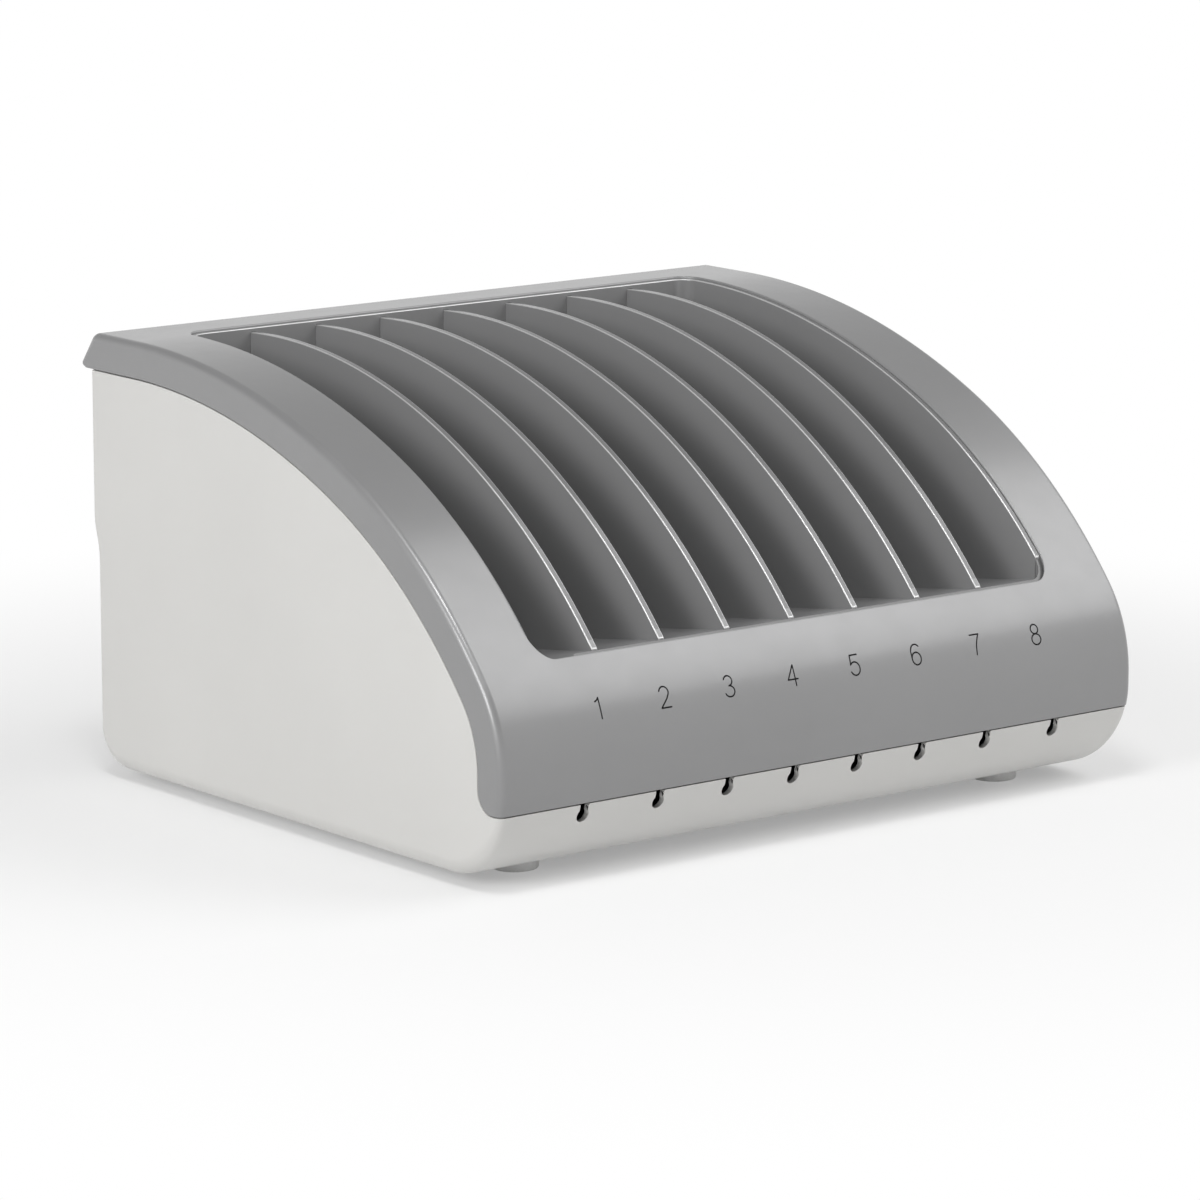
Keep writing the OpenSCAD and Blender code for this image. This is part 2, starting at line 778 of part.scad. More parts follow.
// Rubber foot, let into the bottom and screwed on
module foot(x, y) {
    h = foot_h + foot_seat;
    color(dark_rubber)
        translate([x, y, 0]) rotate_extrude() difference() {
            union() {
                translate([0, foot_edge_r]) square([foot_r, h - foot_edge_r]);
                square([foot_r - foot_edge_r, foot_edge_r]);
                translate([foot_r - foot_edge_r, foot_edge_r]) circle(r = foot_edge_r);
            }
            square([foot_screw_head_r + screw_slack, foot_counterbore]);
            square([screw_r + screw_slack, h + over]);
        }
}

// Screws that hold the feet
module foot_screws() {
    color(bright_steel)
        for (x = [-1, 1], y = [foot_y0, foot_y1])
            translate([x * foot_x, y, foot_counterbore])
                pan_screw(foot_screw_head_r, screw_head_h, foot_screw_len);
}

// Lower half of the charger's case
module charger_base() {
    h = split_z - case_z0;
    mid_y = (case_y0 + case_y1) / 2;
    color(dark_plastic)
        difference() {
            union() {
                translate([0, mid_y, case_z0]) rounded_block([charger_w, charger_d, h], case_edge_r);
                for (p = case_screw_places())
                    translate([p.x - sign(p.x) * case_edge_r, p.y, case_z0])
                        rounded_block([case_tab + 2 * case_edge_r, case_tab, case_tab_t], case_edge_r);
            }
            difference() {
                translate([0, mid_y, case_z0 + case_wall])
                    rounded_block(
                        [charger_w - 2 * case_wall, charger_d - 2 * case_wall, h], case_edge_r - case_wall
                    );
                for (p = standoff_places())
                    translate([p.x, p.y, case_z0]) cylinder(h = case_wall + standoff_h, r = standoff_r);
            }
            for (p = case_screw_places())
                translate([p.x, p.y, case_z0 - over])
                    cylinder(h = case_tab_t + 2 * over, r = screw_r + screw_slack);
        }
}

// Places of the board's standoffs
function standoff_places() = [
    for (x = [-1, 0, 1], y = [case_y0 + standoff_inset, case_y1 - standoff_inset])
        [x * (charger_w / 2 - standoff_inset), y]
];

// Upper half of the charger's case, with a mouth for each outlet
module charger_lid() {
    h = case_z1 - split_z;
    mid_y = (case_y0 + case_y1) / 2;
    color(dark_plastic)
        difference() {
            translate([0, mid_y, split_z]) rounded_block([charger_w, charger_d, h], case_edge_r);
            translate([0, mid_y, split_z - over])
                rounded_block(
                    [charger_w - 2 * case_wall, charger_d - 2 * case_wall, h - case_wall + over],
                    case_edge_r - case_wall
                );
            for (k = [1:bays])
                translate([
                    spread(k, bays, socket_pitch) - socket_w / 2 - socket_fit, case_y0 - over, split_z - over
                ])
                    cube([socket_w + 2 * socket_fit, case_wall + 2 * over, socket_h + socket_fit + over]);
            lid_window(inlet_x, inlet_body_w, inlet_body_h);
            lid_window(switch_x, switch_body_w, switch_body_h);
        }
}

// Hole in the rear of the lid that the inlet or the switch comes in by
module lid_window(x, w, h) {
    translate([x - w / 2 - case_fit, case_y1 - case_wall - over, inlet_z - h / 2 - case_fit])
        cube([w + 2 * case_fit, case_wall + 2 * over, h + 2 * case_fit]);
}

// Screws that hold the charger down
module charger_screws() {
    color(bright_steel)
        for (p = case_screw_places())
            translate([p.x, p.y, case_z0 + case_tab_t]) mirror([0, 0, 1])
                pan_screw(screw_head_r, screw_head_h, case_screw_len);
}

// Circuit board on its standoffs
module circuit_board() {
    w = charger_w - 2 * case_wall - 2 * board_gap;
    d = charger_d - 2 * case_wall - 2 * board_gap;
    color(board_green)
        translate([-w / 2, (case_y0 + case_y1) / 2 - d / 2, board_z]) cube([w, d, board_t]);
}

// Charging outlet number k: shell, block and tongue
module usb_socket(k) {
    x = spread(k, bays, socket_pitch);
    inner_w = socket_w - 2 * socket_wall;
    inner_h = socket_h - 2 * socket_wall;
    color(bright_steel)
        translate([x, case_y0 - socket_proud, split_z]) {
            difference() {
                translate([-socket_w / 2, 0, 0]) cube([socket_w, socket_len, socket_h]);
                translate([-inner_w / 2, -over, socket_wall])
                    cube([inner_w, socket_len - socket_block + over, inner_h]);
            }
            translate([
                -inner_w / 2 + socket_tongue_side, socket_tongue_back,
                socket_h - socket_wall - socket_tongue_side - socket_tongue_t
            ])
                cube([
                    inner_w - 2 * socket_tongue_side, socket_len - socket_block - socket_tongue_back + over,
                    socket_tongue_t
                ]);
        }
}

// Power transformer: core with its winding
module transformer() {
    color([0.30, 0.28, 0.26])
        translate([transformer_x, parts_y, split_z]) {
            difference() {
                translate([-core_w / 2, -core_d / 2 + winding_bulge, 0])
                    cube([core_w, core_d - 2 * winding_bulge, core_h]);
                for (s = [-1, 1])
                    translate([s * leg_share * core_w - core_leg / 2, -core_d / 2, core_leg])
                        cube([core_leg, core_d, core_h - 2 * core_leg]);
            }
            translate([-leg_share * core_w - core_leg / 2, -core_d / 2, core_leg])
                cube([2 * leg_share * core_w + core_leg, core_d, core_h - 2 * core_leg]);
        }
}

// Filter capacitors standing in a row
module filter_capacitors() {
    color([0.16, 0.22, 0.36])
        for (k = [0:len(capacitor_sizes) - 1]) {
            c = capacitor_sizes[k];
            before = [for (j = [0:k]) j < k ? 2 * capacitor_sizes[j][0] + capacitor_gap : 0];
            translate([capacitor_x - sum(before) - c[0], parts_y - capacitor_back, split_z])
                cylinder(h = c[1], r = c[0]);
        }
}

// Sum of a list
function sum(v, k = 0) = k < len(v) ? v[k] + sum(v, k + 1) : 0;

// Finned heat sink
module heat_sink() {
    w = fin_count * fin_t + (fin_count - 1) * fin_gap;
    color(bright_steel)
        translate([sink_x, parts_y - sink_d / 2, split_z]) {
            cube([w, sink_d, sink_base_t]);
            for (k = [0:fin_count - 1])
                translate([k * (fin_t + fin_gap), 0, 0]) cube([fin_t, sink_d, sink_h]);
        }
}

// Mains inlet: flange, body and keyed mouth, open to the rear
module inlet_housing() {
    y = back_y - rear_step;
    color(dark_plastic)
        translate([inlet_x, y, inlet_z]) difference() {
            union() {
                rotate([-90, 0, 0])
                    rounded_block([inlet_flange_w, inlet_flange_h, inlet_flange_t], inlet_flange_r);
                translate([-inlet_body_w / 2, -inlet_body_len, -inlet_body_h / 2])
                    cube([inlet_body_w, inlet_body_len, inlet_body_h]);
            }
            translate([0, inlet_flange_t - inlet_mouth_len, 0]) rotate([-90, 0, 0])
                linear_extrude(height = inlet_mouth_len + over)
                    polygon([
                        [-inlet_mouth_w / 2, inlet_mouth_h / 2],
                        [inlet_mouth_w / 2, inlet_mouth_h / 2],
                        [inlet_mouth_w / 2, -inlet_mouth_h / 2 + inlet_key],
                        [inlet_mouth_w / 2 - inlet_key, -inlet_mouth_h / 2],
                        [-inlet_mouth_w / 2 + inlet_key, -inlet_mouth_h / 2],
                        [-inlet_mouth_w / 2, -inlet_mouth_h / 2 + inlet_key]
                    ]);
            for (p = blade_places())
                translate([p.x - blade_t / 2, -inlet_body_len - over, p.y - blade_w / 2])
                    cube([blade_t, inlet_body_len, blade_w]);
        }
}

// Places of the inlet's blades about its middle
function blade_places() = [[-blade_pitch, -live_drop], [0, earth_rise], [blade_pitch, -live_drop]];

// Blades of the inlet, with tails for their leads
module inlet_blades() {
    y1 = back_y - rear_step + inlet_flange_t - inlet_mouth_len + blade_len;
    y0 = back_y - rear_step - inlet_body_len - tail_len;
    color(bright_steel)
        for (p = blade_places())
            translate([inlet_x + p.x - blade_t / 2, y0, inlet_z + p.y - blade_w / 2])
                cube([blade_t, y1 - y0, blade_w]);
}

// Axis of the rocker, as [y, z]
rocker_c = [back_y - rear_step + rocker_axis_out, inlet_z];

// Body of the switch: bezel, box and the pocket that the rocker turns in
module switch_body() {
    y = back_y - rear_step;
    pocket_w = switch_body_w - 2 * switch_wall;
    pocket_h = switch_body_h - 2 * switch_wall;
    color(dark_plastic)
        difference() {
            translate([switch_x, y, inlet_z]) difference() {
                union() {
                    translate([-bezel_w / 2, 0, -bezel_h / 2]) cube([bezel_w, bezel_t, bezel_h]);
                    translate([-switch_body_w / 2, -switch_body_len, -switch_body_h / 2])
                        cube([switch_body_w, switch_body_len, switch_body_h]);
                }
                translate([-pocket_w / 2, -switch_pocket, -pocket_h / 2])
                    cube([pocket_w, switch_pocket + bezel_t + over, pocket_h]);
            }
            translate([switch_x, 0, 0]) rod_x(trunnion_r + running_fit, switch_body_w + over, rocker_c);
        }
}

// Tails of the switch for its leads
module switch_blades() {
    color(bright_steel)
        for (s = [-1, 1])
            translate([
                switch_x + s * switch_blade_pitch / 2 - switch_blade_t / 2,
                back_y - rear_step - switch_body_len - switch_blade_len, inlet_z - switch_blade_w / 2
            ])
                cube([switch_blade_t, switch_blade_len, switch_blade_w]);
}

// Rocker on its two trunnions, with its lower end pressed in
module switch_rocker() {
    w = switch_body_w - 2 * switch_wall - 2 * rocker_gap;
    color(dark_plastic)
        translate([switch_x, rocker_c.x, rocker_c.y]) rotate([-rocker_travel / 2, 0, 0]) {
            difference() {
                rod_x(rocker_r, w, [0, 0]);
                for (s = [-1, 1])
                    rotate([s * rocker_face_angle, 0, 0])
                        translate([-w / 2 - over, rocker_face, -rocker_r - over])
                            cube([w + 2 * over, rocker_r, 2 * (rocker_r + over)]);
            }
            rod_x(trunnion_r, switch_body_w - switch_wall / 2, [0, 0]);
        }
}

base_shell();
cover_frame();
rack_tray();
divider(1);  // divider_1
divider(2);  // divider_2
divider(3);  // divider_3
divider(4);  // divider_4
divider(5);  // divider_5
divider(6);  // divider_6
divider(7);  // divider_7
tray_screws();
hinge_pin(-hinge_x);  // hinge_pin_left
hinge_pin(hinge_x);  // hinge_pin_right
foot(-foot_x, foot_y0);  // foot_front_left
foot(foot_x, foot_y0);  // foot_front_right
foot(-foot_x, foot_y1);  // foot_rear_left
foot(foot_x, foot_y1);  // foot_rear_right
foot_screws();
charger_base();
charger_lid();
charger_screws();
circuit_board();
usb_socket(1);  // usb_socket_1
usb_socket(2);  // usb_socket_2
usb_socket(3);  // usb_socket_3
usb_socket(4);  // usb_socket_4
usb_socket(5);  // usb_socket_5
usb_socket(6);  // usb_socket_6
usb_socket(7);  // usb_socket_7
usb_socket(8);  // usb_socket_8
transformer();
filter_capacitors();
heat_sink();
inlet_housing();
inlet_blades();
switch_body();
switch_blades();
switch_rocker();
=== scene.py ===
"""The dressed device charging rack: housing, tray and dividers, charger and fittings, and the studio round them."""

from __future__ import annotations

import logging
import math
from collections.abc import Callable, Sequence
from dataclasses import dataclass, field
from enum import Enum

import bmesh
import bpy
from mathutils import Matrix, Vector
from mathutils.kdtree import KDTree


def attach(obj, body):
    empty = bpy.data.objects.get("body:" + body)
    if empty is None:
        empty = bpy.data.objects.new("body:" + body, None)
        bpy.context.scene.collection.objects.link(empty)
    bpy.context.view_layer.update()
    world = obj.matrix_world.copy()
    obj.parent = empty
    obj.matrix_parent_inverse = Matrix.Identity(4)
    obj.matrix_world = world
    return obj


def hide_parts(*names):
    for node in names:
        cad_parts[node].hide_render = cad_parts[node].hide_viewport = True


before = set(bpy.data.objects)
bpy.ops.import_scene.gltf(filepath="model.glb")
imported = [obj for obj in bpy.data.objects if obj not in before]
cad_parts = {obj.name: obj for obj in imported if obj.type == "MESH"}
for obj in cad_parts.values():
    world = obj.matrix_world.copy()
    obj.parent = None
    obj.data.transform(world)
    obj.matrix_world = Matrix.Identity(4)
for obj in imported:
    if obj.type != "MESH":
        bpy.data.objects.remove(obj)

LOG = logging.getLogger("charging_rack")
MM = 0.001
ROUNDED = "rounded"
# faces of the engraved grooves, painted darker as shade
ENGRAVED = "engraved"
# faces of flat crests and front ledges, painted darker as shade
CREST_SHADE = "crest_shade"
# colour of the painted highlight on rounded edges
PAINTED_HIGHLIGHT = (0.72, 0.72, 0.72)

Colour = tuple[float, float, float]
Point = tuple[float, float]
Triple = tuple[float, float, float]
Socket = bpy.types.NodeSocket
Piece = bpy.types.Object


# ---------------------------------------------------------------- finishes


class NodePen:
    """Writes one material's node tree."""

    def __init__(self, name: str) -> None:
        """Starts an empty material.

        Args:
            name: the material's name.
        """
        self.material = bpy.data.materials.new(name)
        self.material.use_nodes = True
        self.tree = self.material.node_tree
        self.tree.nodes.clear()
        self.output = self.add("ShaderNodeOutputMaterial")

    def add(self, kind: str, **settings: object) -> bpy.types.Node:
        """Adds a node.

        Args:
            kind: the node's type name.
            **settings: properties to set on it.

        Returns:
            The new node.
        """
        node = self.tree.nodes.new(kind)
        for key, value in settings.items():
            setattr(node, key, value)
        return node

    def join(self, source: Socket, target: Socket) -> None:
        """Links two sockets."""
        self.tree.links.new(source, target)

    def place(self, stretch: Triple = (1.0, 1.0, 1.0)) -> Socket:
        """Gives the object's own coordinates, stretched if asked."""
        where = self.add("ShaderNodeTexCoord")
        if stretch == (1.0, 1.0, 1.0):
            return where.outputs["Object"]
        mapping = self.add("ShaderNodeMapping")
        mapping.inputs["Scale"].default_value = stretch
        self.join(where.outputs["Object"], mapping.inputs["Vector"])
        return mapping.outputs["Vector"]

    def noise(self, where: Socket, per_metre: float, detail: float = 3.0, rough: float = 0.55) -> Socket:
        """Adds a noise pattern.

        Args:
            where: the coordinates that it reads.
            per_metre: how many lumps there are in a metre.
            detail: how many finer layers lie on it.
            rough: how strong the finer layers are.

        Returns:
            The noise value, from 0 to 1.
        """
        node = self.add("ShaderNodeTexNoise")
        node.inputs["Scale"].default_value = per_metre
        node.inputs["Detail"].default_value = detail
        node.inputs["Roughness"].default_value = rough
        self.join(where, node.inputs["Vector"])
        return node.outputs["Fac"]

    def sum(self, kind: str, first: Socket, second: Socket) -> Socket:
        """Adds a sum of two values of the given kind."""
        node = self.add("ShaderNodeMath", operation=kind)
        self.join(first, node.inputs[0])
        self.join(second, node.inputs[1])
        return node.outputs[0]

    def spread(
        self, value: Socket, low: float, high: float, start: float = 0.3, end: float = 0.7, smooth: bool = False
    ) -> Socket:
        """Maps a pattern's values from start..end to low..high, evenly or smoothly."""
        node = self.add("ShaderNodeMapRange", interpolation_type="SMOOTHSTEP" if smooth else "LINEAR")
        for key, number in (("From Min", start), ("From Max", end), ("To Min", low), ("To Max", high)):
            node.inputs[key].default_value = number
        self.join(value, node.inputs["Value"])
        return node.outputs["Result"]

    def blend(self, share: Socket, first: Colour | Socket, second: Colour) -> Socket:
        """Mixes a colour or a coloured pattern with a colour."""
        node = self.add("ShaderNodeMix", data_type="RGBA")
        for socket in node.inputs:
            if socket.identifier == "A_Color":
                if isinstance(first, tuple):
                    socket.default_value = (*first, 1.0)
                else:
                    self.join(first, socket)
            if socket.identifier == "B_Color":
                socket.default_value = (*second, 1.0)
        self.join(share, node.inputs["Factor"])
        return next(s for s in node.outputs if s.identifier == "Result_Color")

    def bump(self, height: Socket, depth: float, strength: float) -> Socket:
        """Turns a height pattern into a normal.

        Args:
            height: the pattern.
            depth: its full height in metres.
            strength: how much of it shows.

        Returns:
            The normal.
        """
        node = self.add("ShaderNodeBump")
        node.inputs["Strength"].default_value = strength
        node.inputs["Distance"].default_value = depth
        self.join(height, node.inputs["Height"])
        return node.outputs["Normal"]

    def close(self, surface: Socket) -> bpy.types.Material:
        """Shows a shader on the surface, and gives the material."""
        self.join(surface, self.output.inputs["Surface"])
        return self.material


def tint(colour: Colour, share: float) -> Colour:
    """Gives a colour made lighter or darker by a share."""
    return tuple(max(0.0, min(1.0, c * (1.0 + share))) for c in colour)


@dataclass(frozen=True)
class MouldedPlastic:
    """Injection-moulded plastic with the fine grain that the mould's sparked face leaves.

    Attributes:
        name: the material's name.
        colour: its colour.
        roughness: how matt it is.
        grain: grains in a metre.
        depth: how deep the grain is, in metres.
        cloud: how far its colour wanders in large soft patches.
        coat: share of a clear skin on it.
        flake: share of metal flake in it.
        edge_highlight: how much of its rounded edges is painted lighter and metallic, a painted highlight.
        crest_shade: how much darker the flat crests between them are painted, a painted shade.
        ink: how much darker its engraved grooves are painted, a painted shade.
        gloss: how matt its clear skin is.
    """

    name: str
    colour: Colour
    roughness: float = 0.45
    grain: float = 2600.0
    depth: float = 0.00003
    cloud: float = 0.02
    coat: float = 0.0
    flake: float = 0.0
    edge_highlight: float = 0.0
    crest_shade: float = 0.0
    ink: float = 0.0
    gloss: float = 0.12

    def material(self) -> bpy.types.Material:
        """Builds the finish.

        Returns:
            The material.
        """
        pen = NodePen(self.name)
        shader = pen.add("ShaderNodeBsdfPrincipled")
        where = pen.place()
        patches = pen.noise(where, 9.0, 2.0)
        paint = pen.blend(pen.spread(patches, 0.0, 1.0), tint(self.colour, -self.cloud), tint(self.colour, self.cloud))
        shader.inputs["Metallic"].default_value = self.flake
        # painted shade: the marked flat crests and front-corner ledges are darkened
        if self.crest_shade:
            shaded_crests = pen.add("ShaderNodeAttribute", attribute_name=CREST_SHADE).outputs["Fac"]
            paint = pen.blend(shaded_crests, paint, tint(self.colour, -self.crest_shade))
        # painted highlight: marked rounded edges turn lighter and metallic, with a little noise along them
        if self.edge_highlight:
            edges = pen.add("ShaderNodeAttribute", attribute_name=ROUNDED)
            highlight_noise = pen.spread(pen.noise(where, 120.0), 0.85 * self.edge_highlight, self.edge_highlight)
            highlight_share = pen.sum("MULTIPLY", edges.outputs["Fac"], highlight_noise)
            pen.join(pen.spread(highlight_share, self.flake, 1.0, 0.0, 1.0), shader.inputs["Metallic"])
            paint = pen.blend(highlight_share, paint, PAINTED_HIGHLIGHT)
        # painted shade: the engraved grooves are darkened and lose their metal flake
        if self.ink:
            engraving = pen.add("ShaderNodeAttribute", attribute_name=ENGRAVED).outputs["Fac"]
            pen.join(pen.spread(engraving, self.flake, 0.0, 0.0, 1.0), shader.inputs["Metallic"])
            paint = pen.blend(engraving, paint, tint(self.colour, -self.ink))
        pen.join(paint, shader.inputs["Base Color"])
        grain = pen.noise(where, self.grain, 2.0, 0.5)
        rub = pen.noise(where, 55.0, 4.0, 0.6)
        pen.join(pen.spread(rub, self.roughness - 0.03, self.roughness + 0.04), shader.inputs["Roughness"])
        pen.join(pen.bump(grain, self.depth, 0.35), shader.inputs["Normal"])
        shader.inputs["Specular IOR Level"].default_value = 0.5
        shader.inputs["Coat Weight"].default_value = self.coat
        shader.inputs["Coat Roughness"].default_value = self.gloss
        return pen.close(shader.outputs["BSDF"])


@dataclass(frozen=True)
class Rubber:
    """Soft rubber with a dusty bloom.

    Attributes:
        name: the material's name.
        colour: its colour.
    """

    name: str
    colour: Colour

    def material(self) -> bpy.types.Material:
        """Builds the finish.

        Returns:
            The material.
        """
        pen = NodePen(self.name)
        shader = pen.add("ShaderNodeBsdfPrincipled")
        where = pen.place()
        dust = pen.noise(where, 160.0, 5.0, 0.65)
        paint = pen.blend(pen.spread(dust, 0.0, 1.0), self.colour, tint(self.colour, 0.35))
        pen.join(paint, shader.inputs["Base Color"])
        pen.join(pen.spread(dust, 0.62, 0.8), shader.inputs["Roughness"])
        pen.join(pen.bump(pen.noise(where, 1800.0, 2.0), 0.00005, 0.5), shader.inputs["Normal"])
        return pen.close(shader.outputs["BSDF"])


@dataclass(frozen=True)
class Metal:
    """A drawn or rolled metal with the marks of its working along one axis.

    Attributes:
        name: the material's name.
        colour: its colour.
        roughness: how matt it is.
        along: how the marks are stretched on the three axes.
        marks: marks in a metre.
    """

    name: str
    colour: Colour
    roughness: float = 0.28
    along: Triple = (1.0, 1.0, 0.08)
    marks: float = 900.0

    def material(self) -> bpy.types.Material:
        """Builds the finish.

        Returns:
            The material.
        """
        pen = NodePen(self.name)
        shader = pen.add("ShaderNodeBsdfPrincipled")
        shader.inputs["Metallic"].default_value = 1.0
        lines = pen.noise(pen.place(self.along), self.marks, 4.0, 0.6)
        film = pen.noise(pen.place(), 60.0, 4.0, 0.6)
        paint = pen.blend(pen.spread(film, 0.0, 1.0), tint(self.colour, -0.08), tint(self.colour, 0.05))
        pen.join(paint, shader.inputs["Base Color"])
        pen.join(pen.spread(lines, self.roughness - 0.06, self.roughness + 0.1), shader.inputs["Roughness"])
        pen.join(pen.bump(lines, 0.00002, 0.25), shader.inputs["Normal"])
        return pen.close(shader.outputs["BSDF"])


@dataclass(frozen=True)
class CircuitBoard:
    """Green solder resist over a glass-fibre weave, with paler copper lands under it.

    Attributes:
        name: the material's name.
        colour: the resist's colour.
    """

    name: str
    colour: Colour

    def material(self) -> bpy.types.Material:
        """Builds the finish.

        Returns:
            The material.
        """
        pen = NodePen(self.name)
        shader = pen.add("ShaderNodeBsdfPrincipled")
        where = pen.place()
        cells = pen.add("ShaderNodeTexBrick", offset=0.5, squash=1.0)
        for key, number in (("Scale", 160.0), ("Mortar Size", 0.03), ("Brick Width", 0.9), ("Row Height", 0.4)):
            cells.inputs[key].default_value = number
        cells.inputs["Color1"].default_value = (*self.colour, 1.0)
        cells.inputs["Color2"].default_value = (*tint(self.colour, 0.3), 1.0)
        cells.inputs["Mortar"].default_value = (*tint(self.colour, 0.9), 1.0)
        pen.join(where, cells.inputs["Vector"])
        pen.join(cells.outputs["Color"], shader.inputs["Base Color"])
        pen.join(pen.spread(pen.noise(where, 400.0), 0.25, 0.4), shader.inputs["Roughness"])
        pen.join(pen.bump(cells.outputs["Fac"], 0.00004, 0.4), shader.inputs["Normal"])
        return pen.close(shader.outputs["BSDF"])


@dataclass(frozen=True)
class Backdrop:
    """A matt floor that keeps the rack's soft shadow, and turns into the white surround away from the rack.

    Attributes:
        name: the material's name.
        colour: its colour.
        near: distance from the rack's middle at which it starts to turn white, in metres.
        far: distance at which it is wholly white.
        least: share of white next to the rack.
        mirrored: share of white there in what the rack mirrors.
    """

    name: str
    colour: Colour
    near: float = 0.26
    far: float = 0.62
    least: float = 0.3
    mirrored: float = 0.85

    def material(self) -> bpy.types.Material:
        """Builds the finish.

        Returns:
            The material.
        """
        pen = NodePen(self.name)
        shader = pen.add("ShaderNodeBsdfPrincipled")
        shader.inputs["Base Color"].default_value = (*self.colour, 1.0)
        shader.inputs["Roughness"].default_value = 0.9
        shader.inputs["Specular IOR Level"].default_value = 0.1
        white = pen.add("ShaderNodeEmission")
        distance = pen.add("ShaderNodeVectorMath", operation="LENGTH")
        pen.join(pen.place(), distance.inputs[0])
        away = pen.spread(distance.outputs["Value"], self.least, 1.0, self.near, self.far, smooth=True)
        path = pen.add("ShaderNodeLightPath")
        indirect = pen.sum("MAXIMUM", path.outputs["Is Glossy Ray"], path.outputs["Is Transmission Ray"])
        seen = pen.sum("MAXIMUM", path.outputs["Is Camera Ray"], indirect)
        mix = pen.add("ShaderNodeMixShader")
        in_rack = pen.spread(path.outputs["Is Glossy Ray"], 0.0, self.mirrored, 0.0, 1.0)
        pen.join(pen.sum("MAXIMUM", pen.sum("MULTIPLY", away, seen), in_rack), mix.inputs["Fac"])
        pen.join(shader.outputs["BSDF"], mix.inputs[1])
        pen.join(white.outputs["Emission"], mix.inputs[2])
        return pen.close(mix.outputs["Shader"])


class Finish(Enum):
    """Every finish on the rack, by the record's slot."""

    WHITE_SHELL = MouldedPlastic("white_shell_plastic", (0.6, 0.595, 0.578), 0.42)
    # the engraved numbers are painted darker as shade
    GREY_COVER = MouldedPlastic(
        "grey_cover_paint", (0.245, 0.245, 0.247), 0.44, coat=0.8, flake=0.45, ink=0.75, gloss=0.2
    )
    # painted highlight on rounded edges, painted shade on flat crests and front ledges
    GREY_TRAY = MouldedPlastic("grey_tray_plastic", (0.245, 0.245, 0.247), 0.42, coat=0.7, edge_highlight=0.85, crest_shade=0.75)
    DARK_PLASTIC = MouldedPlastic("dark_case_plastic", (0.028, 0.029, 0.031), 0.5, 1500.0, 0.00006, 0.06)
    FOOT_RUBBER = Rubber("foot_rubber", (0.84, 0.835, 0.82))
    BRIGHT_STEEL = Metal("bright_screw_steel", (0.62, 0.62, 0.61))
    SOCKET_STEEL = Metal("folded_socket_steel", (0.56, 0.565, 0.57), 0.24, (1.0, 0.06, 1.0))
    BOARD = CircuitBoard("board_resist", (0.012, 0.13, 0.045))
    TRANSFORMER_CORE = MouldedPlastic("transformer_wrap", (0.42, 0.25, 0.03), 0.55, 700.0, 0.00008, 0.1)
    CAPACITOR_CAN = MouldedPlastic("capacitor_sleeve", (0.02, 0.035, 0.09), 0.3, 500.0, 0.00002, 0.05)
    BARE_ALUMINIUM = Metal("bare_aluminium", (0.78, 0.78, 0.79), 0.34, (0.06, 1.0, 1.0))
    BLADE_BRASS = Metal("blade_brass", (0.78, 0.58, 0.27), 0.22, (1.0, 0.06, 1.0))

    @property
    def slot(self) -> str:
        """The record's slot that the finish fills."""
        return self.name.lower()


class Wardrobe:
    """Keeps one material for each finish."""

    def __init__(self) -> None:
        """Starts empty."""
        self._made: dict[Finish, bpy.types.Material] = {}

    def of(self, finish: Finish) -> bpy.types.Material:
        """Gives a finish's material, built once."""
        if finish not in self._made:
            self._made[finish] = finish.value.material()
        return self._made[finish]

    def dress(self, piece: Piece, finish: Finish) -> None:
        """Puts a finish on the whole of a piece or CAD node."""
        piece.data.materials.clear()
        piece.data.materials.append(self.of(finish))


# ---------------------------------------------------------------- studio


@dataclass(frozen=True)
class Softbox:
    """One soft lamp.

    Attributes:
        name: its name.
        place: where it hangs.
        size: its width and height.
        watts: its power.
    """

    name: str
    place: Triple
    size: Point
    watts: float

    def hang(self, aim: Triple) -> None:
        """Hangs the lamp, turned to a point."""
        data = bpy.data.lights.new(self.name, "AREA")
        data.shape = "RECTANGLE"
        data.size, data.size_y = self.size
        data.energy = self.watts
        lamp = bpy.data.objects.new(self.name, data)
        lamp.location = self.place
        lamp.rotation_euler = (Vector(aim) - Vector(self.place)).to_track_quat("-Z", "Y").to_euler()
        bpy.context.collection.objects.link(lamp)


